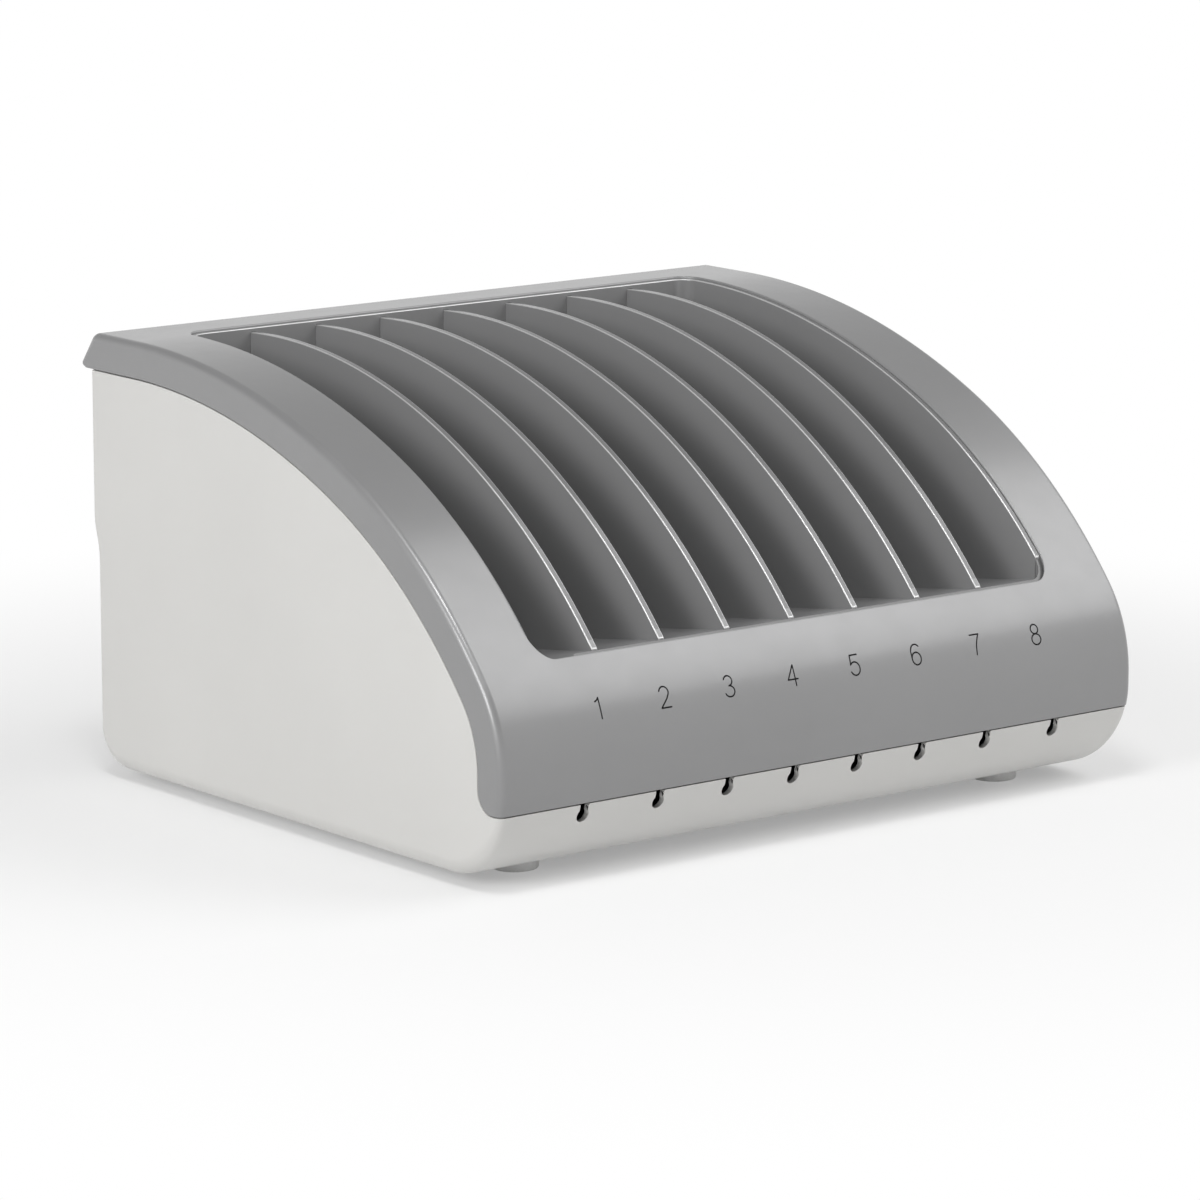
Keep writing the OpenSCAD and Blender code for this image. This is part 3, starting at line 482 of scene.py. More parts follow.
@dataclass
class Studio:
    """The floor, soft lamps, surround and camera.

    Attributes:
        azimuth: how far the camera looks round from +Y, in degrees.
        elevation: how far it looks down, in degrees.
        lens: its focal length on a 36 mm sensor, in mm.
        stand: where it stands.
        aim: the point that the lamps face.
        lamps: the soft lamps.
        even_light: the surround's light on matt faces.
        horizon: how high a mirrored ray starts and ends to turn from the horizon's white to the overhead grey.
        overhead: how bright mirrored rays see the surround overhead.
        reach: half the floor's width.
    """

    azimuth: float = 38.198
    elevation: float = 11.359
    lens: float = 176.237
    stand: Triple = (-1.57884, -2.00163, 0.59209)
    aim: Triple = (0.0, 0.0, 0.08)
    lamps: tuple[Softbox, ...] = (
        Softbox("right_softbox", (1.33, -0.84, 1.6), (1.7, 1.6), 20.0),
        Softbox("top_softbox", (-0.66, -0.6, 2.05), (0.55, 0.55), 14.0),
        Softbox("left_softbox", (-2.4, -0.5, 1.2), (1.0, 1.0), 28.0),
    )
    even_light: float = 0.45
    horizon: Point = (0.12, 0.6)
    overhead: float = 0.4
    reach: float = 30.0

    def floor(self) -> None:
        """Lays the floor."""
        mesh = bpy.data.meshes.new("studio_floor")
        corners = [(x * self.reach, y * self.reach, 0.0) for x, y in ((-1, -1), (1, -1), (1, 1), (-1, 1))]
        mesh.from_pydata(corners, [], [(0, 1, 2, 3)])
        floor = bpy.data.objects.new("studio_floor", mesh)
        bpy.context.collection.objects.link(floor)
        mesh.materials.append(Backdrop("studio_floor_paint", (0.8, 0.8, 0.8)).material())

    def surround(self) -> None:
        """Lights the world evenly, shows it white, and mirrors it paler at the horizon than overhead."""
        world = bpy.data.worlds.new("studio_surround")
        bpy.context.scene.world = world
        world.use_nodes = True
        tree = world.node_tree
        tree.nodes.clear()
        path = tree.nodes.new("ShaderNodeLightPath").outputs
        where = tree.nodes.new("ShaderNodeTexCoord")
        parts = tree.nodes.new("ShaderNodeSeparateXYZ")
        tree.links.new(where.outputs["Generated"], parts.inputs[0])
        mirrored = tree.nodes.new("ShaderNodeMapRange")
        tree.links.new(parts.outputs["Z"], mirrored.inputs["Value"])
        low, high = self.horizon
        for key, value in (("From Min", low), ("From Max", high), ("To Min", 1.0), ("To Max", self.overhead)):
            mirrored.inputs[key].default_value = value
        level: Socket | float = self.even_light
        for ray, seen in (("Is Glossy Ray", mirrored.outputs[0]), ("Is Transmission Ray", 1.0), ("Is Camera Ray", 1.0)):
            choose = tree.nodes.new("ShaderNodeMix")
            tree.links.new(path[ray], choose.inputs["Factor"])
            for socket, value in ((choose.inputs["A"], level), (choose.inputs["B"], seen)):
                if isinstance(value, float):
                    socket.default_value = value
                else:
                    tree.links.new(value, socket)
            level = choose.outputs[0]
        sky = tree.nodes.new("ShaderNodeBackground")
        sky.inputs["Color"].default_value = (1.0, 1.0, 1.0, 1.0)
        tree.links.new(level, sky.inputs["Strength"])
        out = tree.nodes.new("ShaderNodeOutputWorld")
        tree.links.new(sky.outputs[0], out.inputs["Surface"])

    def camera(self) -> None:
        """Stands the camera where the photo was taken from."""
        data = bpy.data.cameras.new("studio_camera")
        data.sensor_width = 36.0
        data.lens = self.lens
        camera = bpy.data.objects.new("studio_camera", data)
        camera.location = self.stand
        camera.rotation_euler = (math.radians(90.0 - self.elevation), 0.0, math.radians(-self.azimuth))
        bpy.context.collection.objects.link(camera)
        bpy.context.scene.camera = camera

    def build(self) -> None:
        """Sets the whole studio up."""
        bpy.context.scene.view_settings.view_transform = "Standard"
        self.floor()
        self.surround()
        for lamp in self.lamps:
            lamp.hang(self.aim)
        self.camera()


# ---------------------------------------------------------------- shapes


@dataclass(frozen=True)
class Station:
    """One point of a side outline, with what the skin needs there.

    Attributes:
        y: depth, in mm.
        z: height, in mm.
        ny: depth part of the outward direction.
        nz: height part of the outward direction.
        edge: radius of the rounded side edge there.
    """

    y: float
    z: float
    ny: float
    nz: float
    edge: float

    def inward(self, inset: float) -> Point:
        """Gives the point moved inward by an inset."""
        return (self.y - self.ny * inset, self.z - self.nz * inset)


def lap(
    centre: Point, radius: float, start: float, end: float, steps: int,
    edge_start: float, edge_end: float, first: int = 0,
) -> list[Station]:
    """Draws one arc of a side outline.

    Args:
        centre: its centre in Y and Z.
        radius: its radius, below zero where the outline is hollow.
        start: the angle that it starts at, in degrees.
        end: the angle that it ends at.
        steps: how many steps it has.
        edge_start: radius of the side edge at its start.
        edge_end: radius of the side edge at its end.
        first: the first step drawn.

    Returns:
        The arc's stations.
    """
    stations = []
    for step in range(first, steps + 1):
        share = step / steps
        angle = math.radians(start + (end - start) * share)
        out = (math.cos(angle), math.sin(angle))
        edge = edge_start + (edge_end - edge_start) * share
        stations.append(Station(centre[0] + radius * out[0], centre[1] + radius * out[1], out[0], out[1], edge))
    return stations


@dataclass(frozen=True)
class Housing:
    """Main sizes of the rack in mm, as the CAD model has them, and the places that follow from them.

    The side outline is a chain of arcs. The feet and screws stand in fours, each given by X and the two depths.
    """

    width: float = 350.0
    depth: float = 305.6
    height: float = 198.6
    wall: float = 3.0
    foot_height: float = 4.0
    bottom_edge: float = 8.0
    seam_edge: float = 3.4
    crease: float = 3.5
    heel: float = 18.0
    top_radius: float = 369.0
    top_turn: float = 25.4
    slope_radius: float = 263.5
    front_radius: float = 63.2
    bulge_share: float = 0.25
    chin_share: float = 0.9
    lip_overhang: float = 6.6
    rear_step: float = 3.6
    rear_step_z: float = 97.0
    rear_step_rise: float = 22.0
    band: float = 16.0
    seam_z: float = 35.0
    seam_gap: float = 0.5
    band_corner: float = 9.0
    lip_radius: float = 2.0
    brow_radius: float = 5.0
    lip_lean: float = 33.0
    open_side: float = 32.3
    open_front: float = 17.4
    open_rear: float = 32.1
    open_corner: float = 10.0
    feet: Triple = (134.0, -107.8, 98.2)
    charger_screws: Triple = (120.5, 65.1, 119.1)
    tray_screws: Triple = (147.1, 32.67, 92.69)
    hinge: Triple = (110.0, 149.2, 179.2)
    hinge_radius: float = 3.0
    screw_hole: float = 1.55

    @property
    def front(self) -> float:
        """Depth of the front bulge."""
        return -self.depth / 2

    @property
    def rear(self) -> float:
        """Depth of the tip of the rear lip."""
        return self.depth / 2

    @property
    def back(self) -> float:
        """Depth of the upper rear wall."""
        return self.rear - self.lip_overhang

    @property
    def inner(self) -> float:
        """Half width inside the walls."""
        return self.width / 2 - self.wall

    @property
    def floor(self) -> float:
        """Height of the inside of the bottom."""
        return self.foot_height + self.wall

    @property
    def band_z(self) -> float:
        """Height of the lower edge of the rear lip."""
        return self.height - self.band

    @property
    def front_centre(self) -> Point:
        """Centre of the front arc."""
        return (self.front + self.front_radius, self.bulge_share * self.height)

    @property
    def join(self) -> float:
        """Angle at which the slope meets the front arc, in degrees."""
        fall = (
            self.front_centre[1] - self.height + self.top_radius
            - (self.top_radius - self.slope_radius) * math.cos(math.radians(self.top_turn))
        )
        return math.degrees(math.acos(fall / (self.slope_radius - self.front_radius)))

    @property
    def slope_centre(self) -> Point:
        """Centre of the arc from the top down to the front."""
        reach, angle = self.slope_radius - self.front_radius, math.radians(self.join)
        return (self.front_centre[0] + reach * math.sin(angle), self.front_centre[1] - reach * math.cos(angle))

    @property
    def top_centre(self) -> Point:
        """Centre of the long arc over the top."""
        reach, angle = self.top_radius - self.slope_radius, math.radians(self.top_turn)
        return (self.slope_centre[0] + reach * math.sin(angle), self.slope_centre[1] - reach * math.cos(angle))

    @property
    def chin(self) -> float:
        """Radius of the arc under the front."""
        return self.chin_share * (self.front_centre[1] - self.foot_height)

    @property
    def chin_centre(self) -> Point:
        """Centre of the arc under the front."""
        return (self.front + self.chin, self.foot_height + self.chin)

    @property
    def open_half(self) -> float:
        """Half width of the opening."""
        return self.width / 2 - self.open_side

    @property
    def open_y0(self) -> float:
        """Depth of the opening's front edge."""
        return self.front + self.open_front

    @property
    def open_y1(self) -> float:
        """Depth of the opening's rear edge."""
        return self.rear - self.open_rear

    def crown(self, inset: float, edge: float) -> list[Station]:
        """Draws the profile from the top down to the middle of the bulge.

        Args:
            inset: how far it is drawn in.
            edge: radius of the side edge.

        Returns:
            The profile's stations.
        """
        join = self.join
        return [
            *lap(self.top_centre, self.top_radius - inset, 90, 90 + self.top_turn, 26, edge, edge),
            *lap(self.slope_centre, self.slope_radius - inset, 90 + self.top_turn, 90 + join, 26, edge, edge, 1),
            *lap(self.front_centre, self.front_radius - inset, 90 + join, 180, 26, edge, edge, 1),
        ]

    def height_at(self, y: float, inset: float = 0.0) -> float:
        """Gives the height of the profile.

        Args:
            y: the depth.
            inset: how far the profile is drawn in.

        Returns:
            The height in mm.
        """
        if y > self.top_centre[0]:
            return self.height - inset
        centre, radius = self.front_centre, self.front_radius
        if y > self.top_centre[0] - self.top_radius * math.sin(math.radians(self.top_turn)):
            centre, radius = self.top_centre, self.top_radius
        elif y > self.slope_centre[0] - self.slope_radius * math.sin(math.radians(self.join)):
            centre, radius = self.slope_centre, self.slope_radius
        return centre[1] + math.sqrt(max(0.0, (radius - inset) ** 2 - (y - centre[0]) ** 2))

    def cover_outline(self) -> list[Station]:
        """Draws the cover's side outline, with its lip behind."""
        lean, crease = math.radians(self.lip_lean), self.crease
        lip = (self.rear - self.lip_radius, self.band_z + self.lip_radius)
        brow_z = self.height - self.brow_radius
        brow_y = lip[0] + (lip[1] - brow_z) * math.tan(lean) + (self.lip_radius - self.brow_radius) / math.cos(lean)
        return [
            *lap(lip, self.lip_radius, -90, self.lip_lean, 14, self.lip_radius, self.lip_radius),
            *lap((brow_y, brow_z), self.brow_radius, self.lip_lean, 90, 10, crease, crease),
            *self.crown(0.0, crease),
            *lap(self.chin_centre, self.chin, 180, 270, 24, crease, crease),
        ]

    def base_outline(self, inset: float, edge_top: float, edge_bottom: float) -> list[Station]:
        """Draws the base's side outline, closed over the top.

        Args:
            inset: how far it is drawn in.
            edge_top: radius of the side edge at the seam and the rear.
            edge_bottom: radius of the side edge at the bottom.

        Returns:
            The outline's stations.
        """
        rise, step = self.rear_step_rise, self.rear_step
        radius = (rise**2 + step**2) / (4 * step)
        turn = math.degrees(math.asin(rise / 2 / radius))
        back, top, heel, brow = self.back, edge_top, self.heel, self.brow_radius
        return [
            *lap((back - step - heel, self.foot_height + heel), heel - inset, -90, 0, 20, edge_bottom, top),
            *lap((back - step + radius, self.rear_step_z), -radius - inset, 0, -turn, 6, top, top),
            *lap((back - radius, self.rear_step_z + rise), radius - inset, -turn, 0, 6, top, top, 1),
            *lap((back - brow, self.height - brow), brow - inset, 0, 90, 4, top, top),
            *self.crown(inset, top),
            *lap(self.chin_centre, self.chin - inset, 180, 270, 36, top, edge_bottom),
        ]

    @property
    def tub_outline(self) -> list[Station]:
        """The base's outer side outline."""
        return self.base_outline(0.0, self.seam_edge, self.bottom_edge)

    @property
    def core_outline(self) -> list[Station]:
        """The base's inner side outline."""
        return self.base_outline(self.wall, 1.0, self.bottom_edge - self.wall)

    def under_cover(self, gap: float) -> list[Point]:
        """Draws the region that the base fills, below the bands and the seam.

        Args:
            gap: how far it stays below them.

        Returns:
            A closed outline in Y and Z.
        """
        corner = (self.front + self.band - self.band_corner, self.seam_z + self.band_corner)
        return [
            (self.rear + 1, -1.0), (self.rear + 1, self.band_z - gap),
            *((s.y, s.z) for s in self.crown(self.band + gap, 0.0)),
            *((s.y, s.z) for s in lap(corner, self.band_corner + gap, 0, -90, 12, 0, 0)),
            (self.front - 1, self.seam_z - gap), (self.front - 1, -1.0),
        ]


# ---------------------------------------------------------------- mesh work


def solid(name: str, corners: Sequence[Sequence[float]], faces: Sequence[Sequence[int]]) -> Piece:
    """Makes a closed body with its faces outwards.

    Args:
        name: the object's name.
        corners: its corners in mm.
        faces: its faces, as numbers of corners.

    Returns:
        The new object.
    """
    mesh = bpy.data.meshes.new(name)
    mesh.from_pydata([Vector(c) * MM for c in corners], [], [tuple(f) for f in faces])
    work = bmesh.new()
    work.from_mesh(mesh)
    bmesh.ops.remove_doubles(work, verts=work.verts, dist=1e-7)
    bmesh.ops.recalc_face_normals(work, faces=work.faces)
    work.to_mesh(mesh)
    work.free()
    piece = bpy.data.objects.new(name, mesh)
    bpy.context.collection.objects.link(piece)
    return piece


def prism(name: str, outline: Sequence[Point], low: float, high: float, axis: str) -> Piece:
    """Extrudes a closed outline.

    Args:
        name: the object's name.
        outline: its corners, in Y and Z for axis x, X and Z for axis y, X and Y for axis z.
        low: where it starts on the axis.
        high: where it ends.
        axis: x, y or z.

    Returns:
        The new object.
    """
    def at(u: float, v: float, w: float) -> Triple:
        """Places one corner."""
        return {"x": (w, u, v), "y": (u, w, v), "z": (u, v, w)}[axis]

    count = len(outline)
    corners = [at(u, v, w) for w in (low, high) for u, v in outline]
    faces = [tuple(range(count)), tuple(range(2 * count - 1, count - 1, -1))]
    faces += [(k, (k + 1) % count, count + (k + 1) % count, count + k) for k in range(count)]
    return solid(name, corners, faces)


def block(name: str, low: Triple, high: Triple) -> Piece:
    """Makes a box for joining or cutting, from its lowest and highest corners."""
    (x0, y0, z0), (x1, y1, z1) = low, high
    return prism(name, [(x0, y0), (x1, y0), (x1, y1), (x0, y1)], z0, z1, "z")


def circle(centre: Point, radius: float, steps: int = 48, start: float = 0.0, end: float = 360.0) -> list[Point]:
    """Gives points round a circle or along an arc of it.

    Args:
        centre: its centre.
        radius: its radius.
        steps: how many steps it has.
        start: the angle that it starts at, in degrees.
        end: the angle that it ends at.

    Returns:
        The points, without the last one of a full circle.
    """
    count = steps if end - start == 360.0 else steps + 1
    angles = [math.radians(start + (end - start) * k / steps) for k in range(count)]
    return [(centre[0] + radius * math.cos(a), centre[1] + radius * math.sin(a)) for a in angles]


def rounded_plan(low: Point, high: Point, radius: float, steps: int = 14) -> list[Point]:
    """Draws a rectangle with rounded corners between two points."""
    (x0, y0), (x1, y1) = low, high
    corners = (
        ((x1 - radius, y1 - radius), 0), ((x0 + radius, y1 - radius), 90),
        ((x0 + radius, y0 + radius), 180), ((x1 - radius, y0 + radius), 270),
    )
    return [p for centre, a in corners for p in circle(centre, radius, steps, a, a + 90)]


def turned(name: str, outline: Sequence[Point], steps: int = 48) -> Piece:
    """Turns an outline in radius and height about the Z axis.

    Args:
        name: the object's name.
        outline: its corners from the axis at one end to the axis at the other, or a closed ring off the axis.
        steps: how many steps it has round.

    Returns:
        The new object.
    """
    ring = outline[0][0] > 0.0
    turns = [2 * math.pi * k / steps for k in range(steps)]
    corners = [(r * math.cos(t), r * math.sin(t), z) for t in turns for r, z in outline]
    count = len(outline)
    last = count if ring else count - 1
    faces = []
    for k in range(steps):
        a, b = k * count, ((k + 1) % steps) * count
        for j in range(last):
            quad = (a + j, a + (j + 1) % count, b + (j + 1) % count, b + j)
            if not ring and j == 0:
                quad = (a, a + 1, b + 1)
            elif not ring and j == last - 1:
                quad = (a + j, a + j + 1, b + j)
            faces.append(quad)
    return solid(name, corners, faces)


def rod(name: str, radius: float, low: float, high: float, steps: int = 24) -> Piece:
    """Makes an upright rod about the Z axis."""
    return turned(name, [(0.0, low), (radius, low), (radius, high), (0.0, high)], steps)


def rounded_body(name: str, outline: Sequence[Station], half: float, slices: int = 10) -> Piece:
    """Makes a body with rounded side edges over a side outline.

    Args:
        name: the object's name.
        outline: its stations, in order round it.
        half: half its width.
        slices: steps over a rounded edge.

    Returns:
        The new object.
    """
    count = len(outline)
    corners: list[Triple] = []
    for side, order in ((-1, range(slices, -1, -1)), (1, range(slices + 1))):
        for step in order:
            turn = math.pi / 2 * step / slices
            for s in outline:
                y, z = s.inward(s.edge * (1 - math.cos(turn)))
                corners.append((side * (half - s.edge * (1 - math.sin(turn))), y, z))
    rings = len(corners) // count
    faces = [tuple(range(count)), tuple(range(rings * count - 1, (rings - 1) * count - 1, -1))]
    for ring in range(rings - 1):
        a = ring * count
        faces += [(a + k, a + count + k, a + count + (k + 1) % count, a + (k + 1) % count) for k in range(count)]
    return solid(name, corners, faces)


def settle(piece: Piece) -> None:
    """Turns a piece's modifiers into plain mesh."""
    bpy.context.view_layer.update()
    mesh = bpy.data.meshes.new_from_object(piece.evaluated_get(bpy.context.evaluated_depsgraph_get()))
    piece.modifiers.clear()
    old, piece.data = piece.data, mesh
    mesh.name = piece.name
    bpy.data.meshes.remove(old)


class Carve(Enum):
    """How one body changes another."""

    CUT = "DIFFERENCE"
    JOIN = "UNION"
    KEEP = "INTERSECT"


def carve(piece: Piece, how: Carve, *tools: Piece, weld: float = 4e-6) -> Piece:
    """Cuts, joins or keeps a piece with closed tools, which are used up.

    Args:
        piece: the body that changes.
        how: what is done.
        *tools: the bodies that do it.
        weld: distance within which corners become one, in metres.

    Returns:
        The piece.

    Raises:
        ValueError: the piece has an open edge, which would stop the next cut.
    """
    for number, tool in enumerate(tools):
        step = piece.modifiers.new(f"carve_{number}", "BOOLEAN")
        step.operation, step.object, step.solver = how.value, tool, "MANIFOLD"
    settle(piece)
    for tool in tools:
        mesh = tool.data
        bpy.data.objects.remove(tool)
        bpy.data.meshes.remove(mesh)
    work = bmesh.new()
    work.from_mesh(piece.data)
    bmesh.ops.remove_doubles(work, verts=work.verts, dist=weld)
    bmesh.ops.dissolve_degenerate(work, edges=work.edges, dist=1e-6)
    open_edges = sum(len(edge.link_faces) != 2 for edge in work.edges)
    work.to_mesh(piece.data)
    work.free()
    if open_edges:
        raise ValueError(f"{piece.name} has {open_edges} open edges")
    return piece


def round_edges(
    piece: Piece, rule: Callable[[Vector], float], widest: float, steps: int = 2, sharp: float = 35.0
) -> None:
    """Rounds a piece's sharp edges, and marks the new faces, on which a finish may paint a highlight.

    Args:
        piece: the piece.
        rule: gives the radius in mm for an edge, from its middle in mm.
        widest: the largest radius.
        steps: steps over an edge.
        sharp: the turn from which an edge counts as sharp, in degrees.
    """
    work = bmesh.new()
    work.from_mesh(piece.data)
    weights = work.edges.layers.float.get("bevel_weight_edge") or work.edges.layers.float.new("bevel_weight_edge")
    for edge in work.edges:
        edge[weights] = 0.0
        if len(edge.link_faces) == 2 and edge.calc_face_angle(0.0) > math.radians(sharp):
            middle = (edge.verts[0].co + edge.verts[1].co) / (2 * MM)
            edge[weights] = min(1.0, rule(middle) / widest)
    work.to_mesh(piece.data)
    work.free()
    rounding = piece.modifiers.new("rounding", "BEVEL")
    rounding.limit_method, rounding.width, rounding.segments = "WEIGHT", widest * MM, steps
    rounding.use_clamp_overlap = False
    piece.data.materials.clear()
    for _ in range(2):
        piece.data.materials.append(None)
    rounding.material = 1
    settle(piece)
    mesh = piece.data
    marks = mesh.attributes.get(ROUNDED) or mesh.attributes.new(ROUNDED, "FLOAT", "FACE")
    for face, mark in zip(mesh.polygons, marks.data):
        mark.value = max(mark.value, float(face.material_index == 1))
        face.material_index = 0
    mesh.materials.clear()


def round_all(piece: Piece, radius: float, steps: int = 2, sharp: float = 35.0) -> Piece:
    """Rounds all sharp edges of a piece by one radius in mm."""
    round_edges(piece, lambda _: radius, radius, steps, sharp)
    return piece


def soften(piece: Piece, sharp: float = 50.0) -> None:
    """Shades a piece smoothly, with its large faces kept flat.

    Args:
        piece: the piece.
        sharp: the turn from which an edge stays sharp, in degrees.
    """
    piece.data.polygons.foreach_set("use_smooth", [True] * len(piece.data.polygons))
    piece.data.set_sharp_from_angle(angle=math.radians(sharp))
    weighing = piece.modifiers.new("weighing", "WEIGHTED_NORMAL")
    weighing.keep_sharp, weighing.weight = True, 80
    settle(piece)


@dataclass
class Skin:
    """A curved face that a piece was cut from, which gives its exact directions.

    Attributes:
        outline: the side outline.
        half: half its width.
        outward: 1 where the piece lies inside the skin, and -1 where it lies outside.
    """

    outline: Sequence[Station]
    half: float
    outward: float = 1.0

    def __post_init__(self) -> None:
        """Samples the outline finely."""
        self.samples: list[Station] = []
        for a, b in zip(self.outline, [*self.outline[1:], self.outline[0]]):
            parts = max(1, int(math.hypot(b.y - a.y, b.z - a.z) / 0.25))
            for k in range(parts):
                t = k / parts
                pairs = ((a.y, b.y), (a.z, b.z), (a.ny, b.ny), (a.nz, b.nz), (a.edge, b.edge))
                y, z, ny, nz, edge = (p + (q - p) * t for p, q in pairs)
                length = math.hypot(ny, nz) or 1.0
                self.samples.append(Station(y, z, ny / length, nz / length, edge))
        self.tree = KDTree(len(self.samples))
        for number, s in enumerate(self.samples):
            self.tree.insert((0.0, s.y, s.z), number)
        self.tree.balance()

    def direction(self, point: Vector, reach: float = 0.03) -> Vector | None:
        """Gives the skin's direction at a point of the piece.

        Args:
            point: the point in mm.
            reach: how far from the skin it may lie.

        Returns:
            The direction away from the piece, or None off the skin.
        """
        s = self.samples[self.tree.find((0.0, point.y, point.z))[1]]
        inside = self.half - abs(point.x)
        turn = math.asin(max(0.0, min(1.0, 1 - inside / s.edge))) if s.edge > 0 and inside < s.edge else 0.0
        off = (point.y - s.y) * s.ny + (point.z - s.z) * s.nz + s.edge * (1 - math.cos(turn))
        if abs(off) > reach or inside < -reach or turn > math.radians(89.5):
            return None
        side = math.copysign(math.sin(turn), point.x)
        return Vector((side, s.ny * math.cos(turn), s.nz * math.cos(turn))) * self.outward


def lay_directions(piece: Piece, skins: Sequence[Skin], reach: float = 0.03) -> None:
    """Gives a piece's corners the exact directions of the skins that they lie on.

    Args:
        piece: the piece, already shaded smoothly.
        skins: the curved faces.
        reach: how far from a skin a corner may lie.
    """
    mesh = piece.data
    known: list[list[Vector]] = []
    for vertex in mesh.vertices:
        found = (skin.direction(vertex.co / MM, reach) for skin in skins)
        known.append([direction for direction in found if direction is not None])
    corners = [Vector(c.vector) for c in mesh.corner_normals]
    for face in mesh.polygons:
        for loop in face.loop_indices:
            for direction in known[mesh.loops[loop].vertex_index]:
                if direction.dot(face.normal) > 0.76:
                    corners[loop] = direction
    mesh.normals_split_custom_set(corners)


def unite(name: str, pieces: Sequence[Piece]) -> Piece:
    """Puts several meshes into one object.

    Args:
        name: the new object's name.
        pieces: the objects, which are used up.

    Returns:
        The new object.
    """
    work = bmesh.new()
    for piece in pieces:
        work.from_mesh(piece.data)
    mesh = bpy.data.meshes.new(name)
    work.to_mesh(mesh)
    work.free()
    for piece in pieces:
        old = piece.data
        bpy.data.objects.remove(piece)
        bpy.data.meshes.remove(old)
    whole = bpy.data.objects.new(name, mesh)
    bpy.context.collection.objects.link(whole)
    return whole


class Tree:
    """Writes one Geometry Nodes tree that copies a piece, with named inputs."""

    def __init__(self, name: str, inputs: Sequence[tuple[str, str, object]]) -> None:
        """Starts the tree.

        Args:
            name: the tree's name.
            inputs: each input's name, socket type and starting value.
        """
        self.tree = bpy.data.node_groups.new(name, "GeometryNodeTree")
        self.tree.interface.new_socket("Geometry", in_out="INPUT", socket_type="NodeSocketGeometry")
        self.names: dict[str, str] = {}
        for label, kind, value in inputs:
            socket = self.tree.interface.new_socket(label, in_out="INPUT", socket_type=kind)
            if value is not None:
                socket.default_value = value
            self.names[label] = socket.identifier
        self.tree.interface.new_socket("Geometry", in_out="OUTPUT", socket_type="NodeSocketGeometry")
        self.given = self.tree.nodes.new("NodeGroupInput")
        self.result = self.tree.nodes.new("NodeGroupOutput")

    def add(self, kind: str, links: dict[str | int, object] | None = None, **settings: object) -> bpy.types.Node:
        """Adds a node.

        Args:
            kind: its type name.
            links: what feeds each input: a socket, or a fixed value.
            **settings: properties to set on it.

        Returns:
            The new node.
        """
        node = self.tree.nodes.new(kind)
        for key, value in settings.items():
            setattr(node, key, value)
        for key, value in (links or {}).items():
            if isinstance(value, Socket):
                self.tree.links.new(value, node.inputs[key])
            else:
                node.inputs[key].default_value = value
        return node

    def sum(self, kind: str, first: Socket | float, second: Socket | float) -> Socket:
        """Adds a sum of two numbers of the given kind."""
        return self.add("ShaderNodeMath", {0: first, 1: second}, operation=kind).outputs[0]

    def finish(self, points: Socket, piece: Socket, turn: Socket | None = None) -> None:
        """Ends the tree: copies on the points, made real, with their material."""
        links: dict[str | int, object] = {"Points": points, "Instance": piece}
        if turn is not None:
            links["Rotation"] = turn
        copies = self.add("GeometryNodeInstanceOnPoints", links)
        real = self.add("GeometryNodeRealizeInstances", {0: copies.outputs[0]})
        paint = {"Geometry": real.outputs[0], "Material": self.given.outputs["Finish"]}
        dressed = self.add("GeometryNodeSetMaterial", paint)
        self.tree.links.new(dressed.outputs[0], self.result.inputs[0])


class RowOfPieces(Tree):
    """Copies the object's own mesh in a row along X that is even, or fans out towards its ends."""

    def __init__(self) -> None:
        """Writes the tree."""
        super().__init__("row_of_pieces", [
            ("Count", "NodeSocketInt", 8), ("Pitch", "NodeSocketFloat", 0.03), ("Middle", "NodeSocketFloat", 0.0),
            ("Fan", "NodeSocketFloat", 0.0), ("Finish", "NodeSocketMaterial", None),
        ])
        given = self.given.outputs
        line = self.add("GeometryNodeMeshLine", {"Count": given["Count"]})
        half = self.sum("DIVIDE", self.sum("SUBTRACT", given["Count"], 1.0), 2.0)
        out = self.sum("SUBTRACT", self.add("GeometryNodeInputIndex").outputs[0], half)
        fan = self.sum("ADD", self.sum("MULTIPLY", given["Fan"], self.sum("MULTIPLY", out, out)), 1.0)
        along = self.sum("ADD", self.sum("MULTIPLY", self.sum("MULTIPLY", out, given["Pitch"]), fan), given["Middle"])
        place = self.add("ShaderNodeCombineXYZ", {0: along})
        points = self.add("GeometryNodeSetPosition", {"Geometry": line.outputs[0], "Position": place.outputs[0]})
        self.finish(points.outputs[0], given["Geometry"])

    def run(
        self, piece: Piece, count: int, pitch: float, middle: float = 0.0, fan: float = 0.0,
        finish: bpy.types.Material | None = None,
    ) -> Piece:
        """Copies a piece in a row.

        Args:
            piece: the piece, at the middle of the row.
            count: how many there are.
            pitch: the distance between the middle ones, in mm.
            middle: the row's middle, in mm.
            fan: share by which the distance grows towards the ends.
            finish: the material.

        Returns:
            The piece, now the whole row.
        """
        values = {"Count": count, "Pitch": pitch * MM, "Middle": middle * MM, "Fan": fan, "Finish": finish}
        return run_tree(piece, self, values)


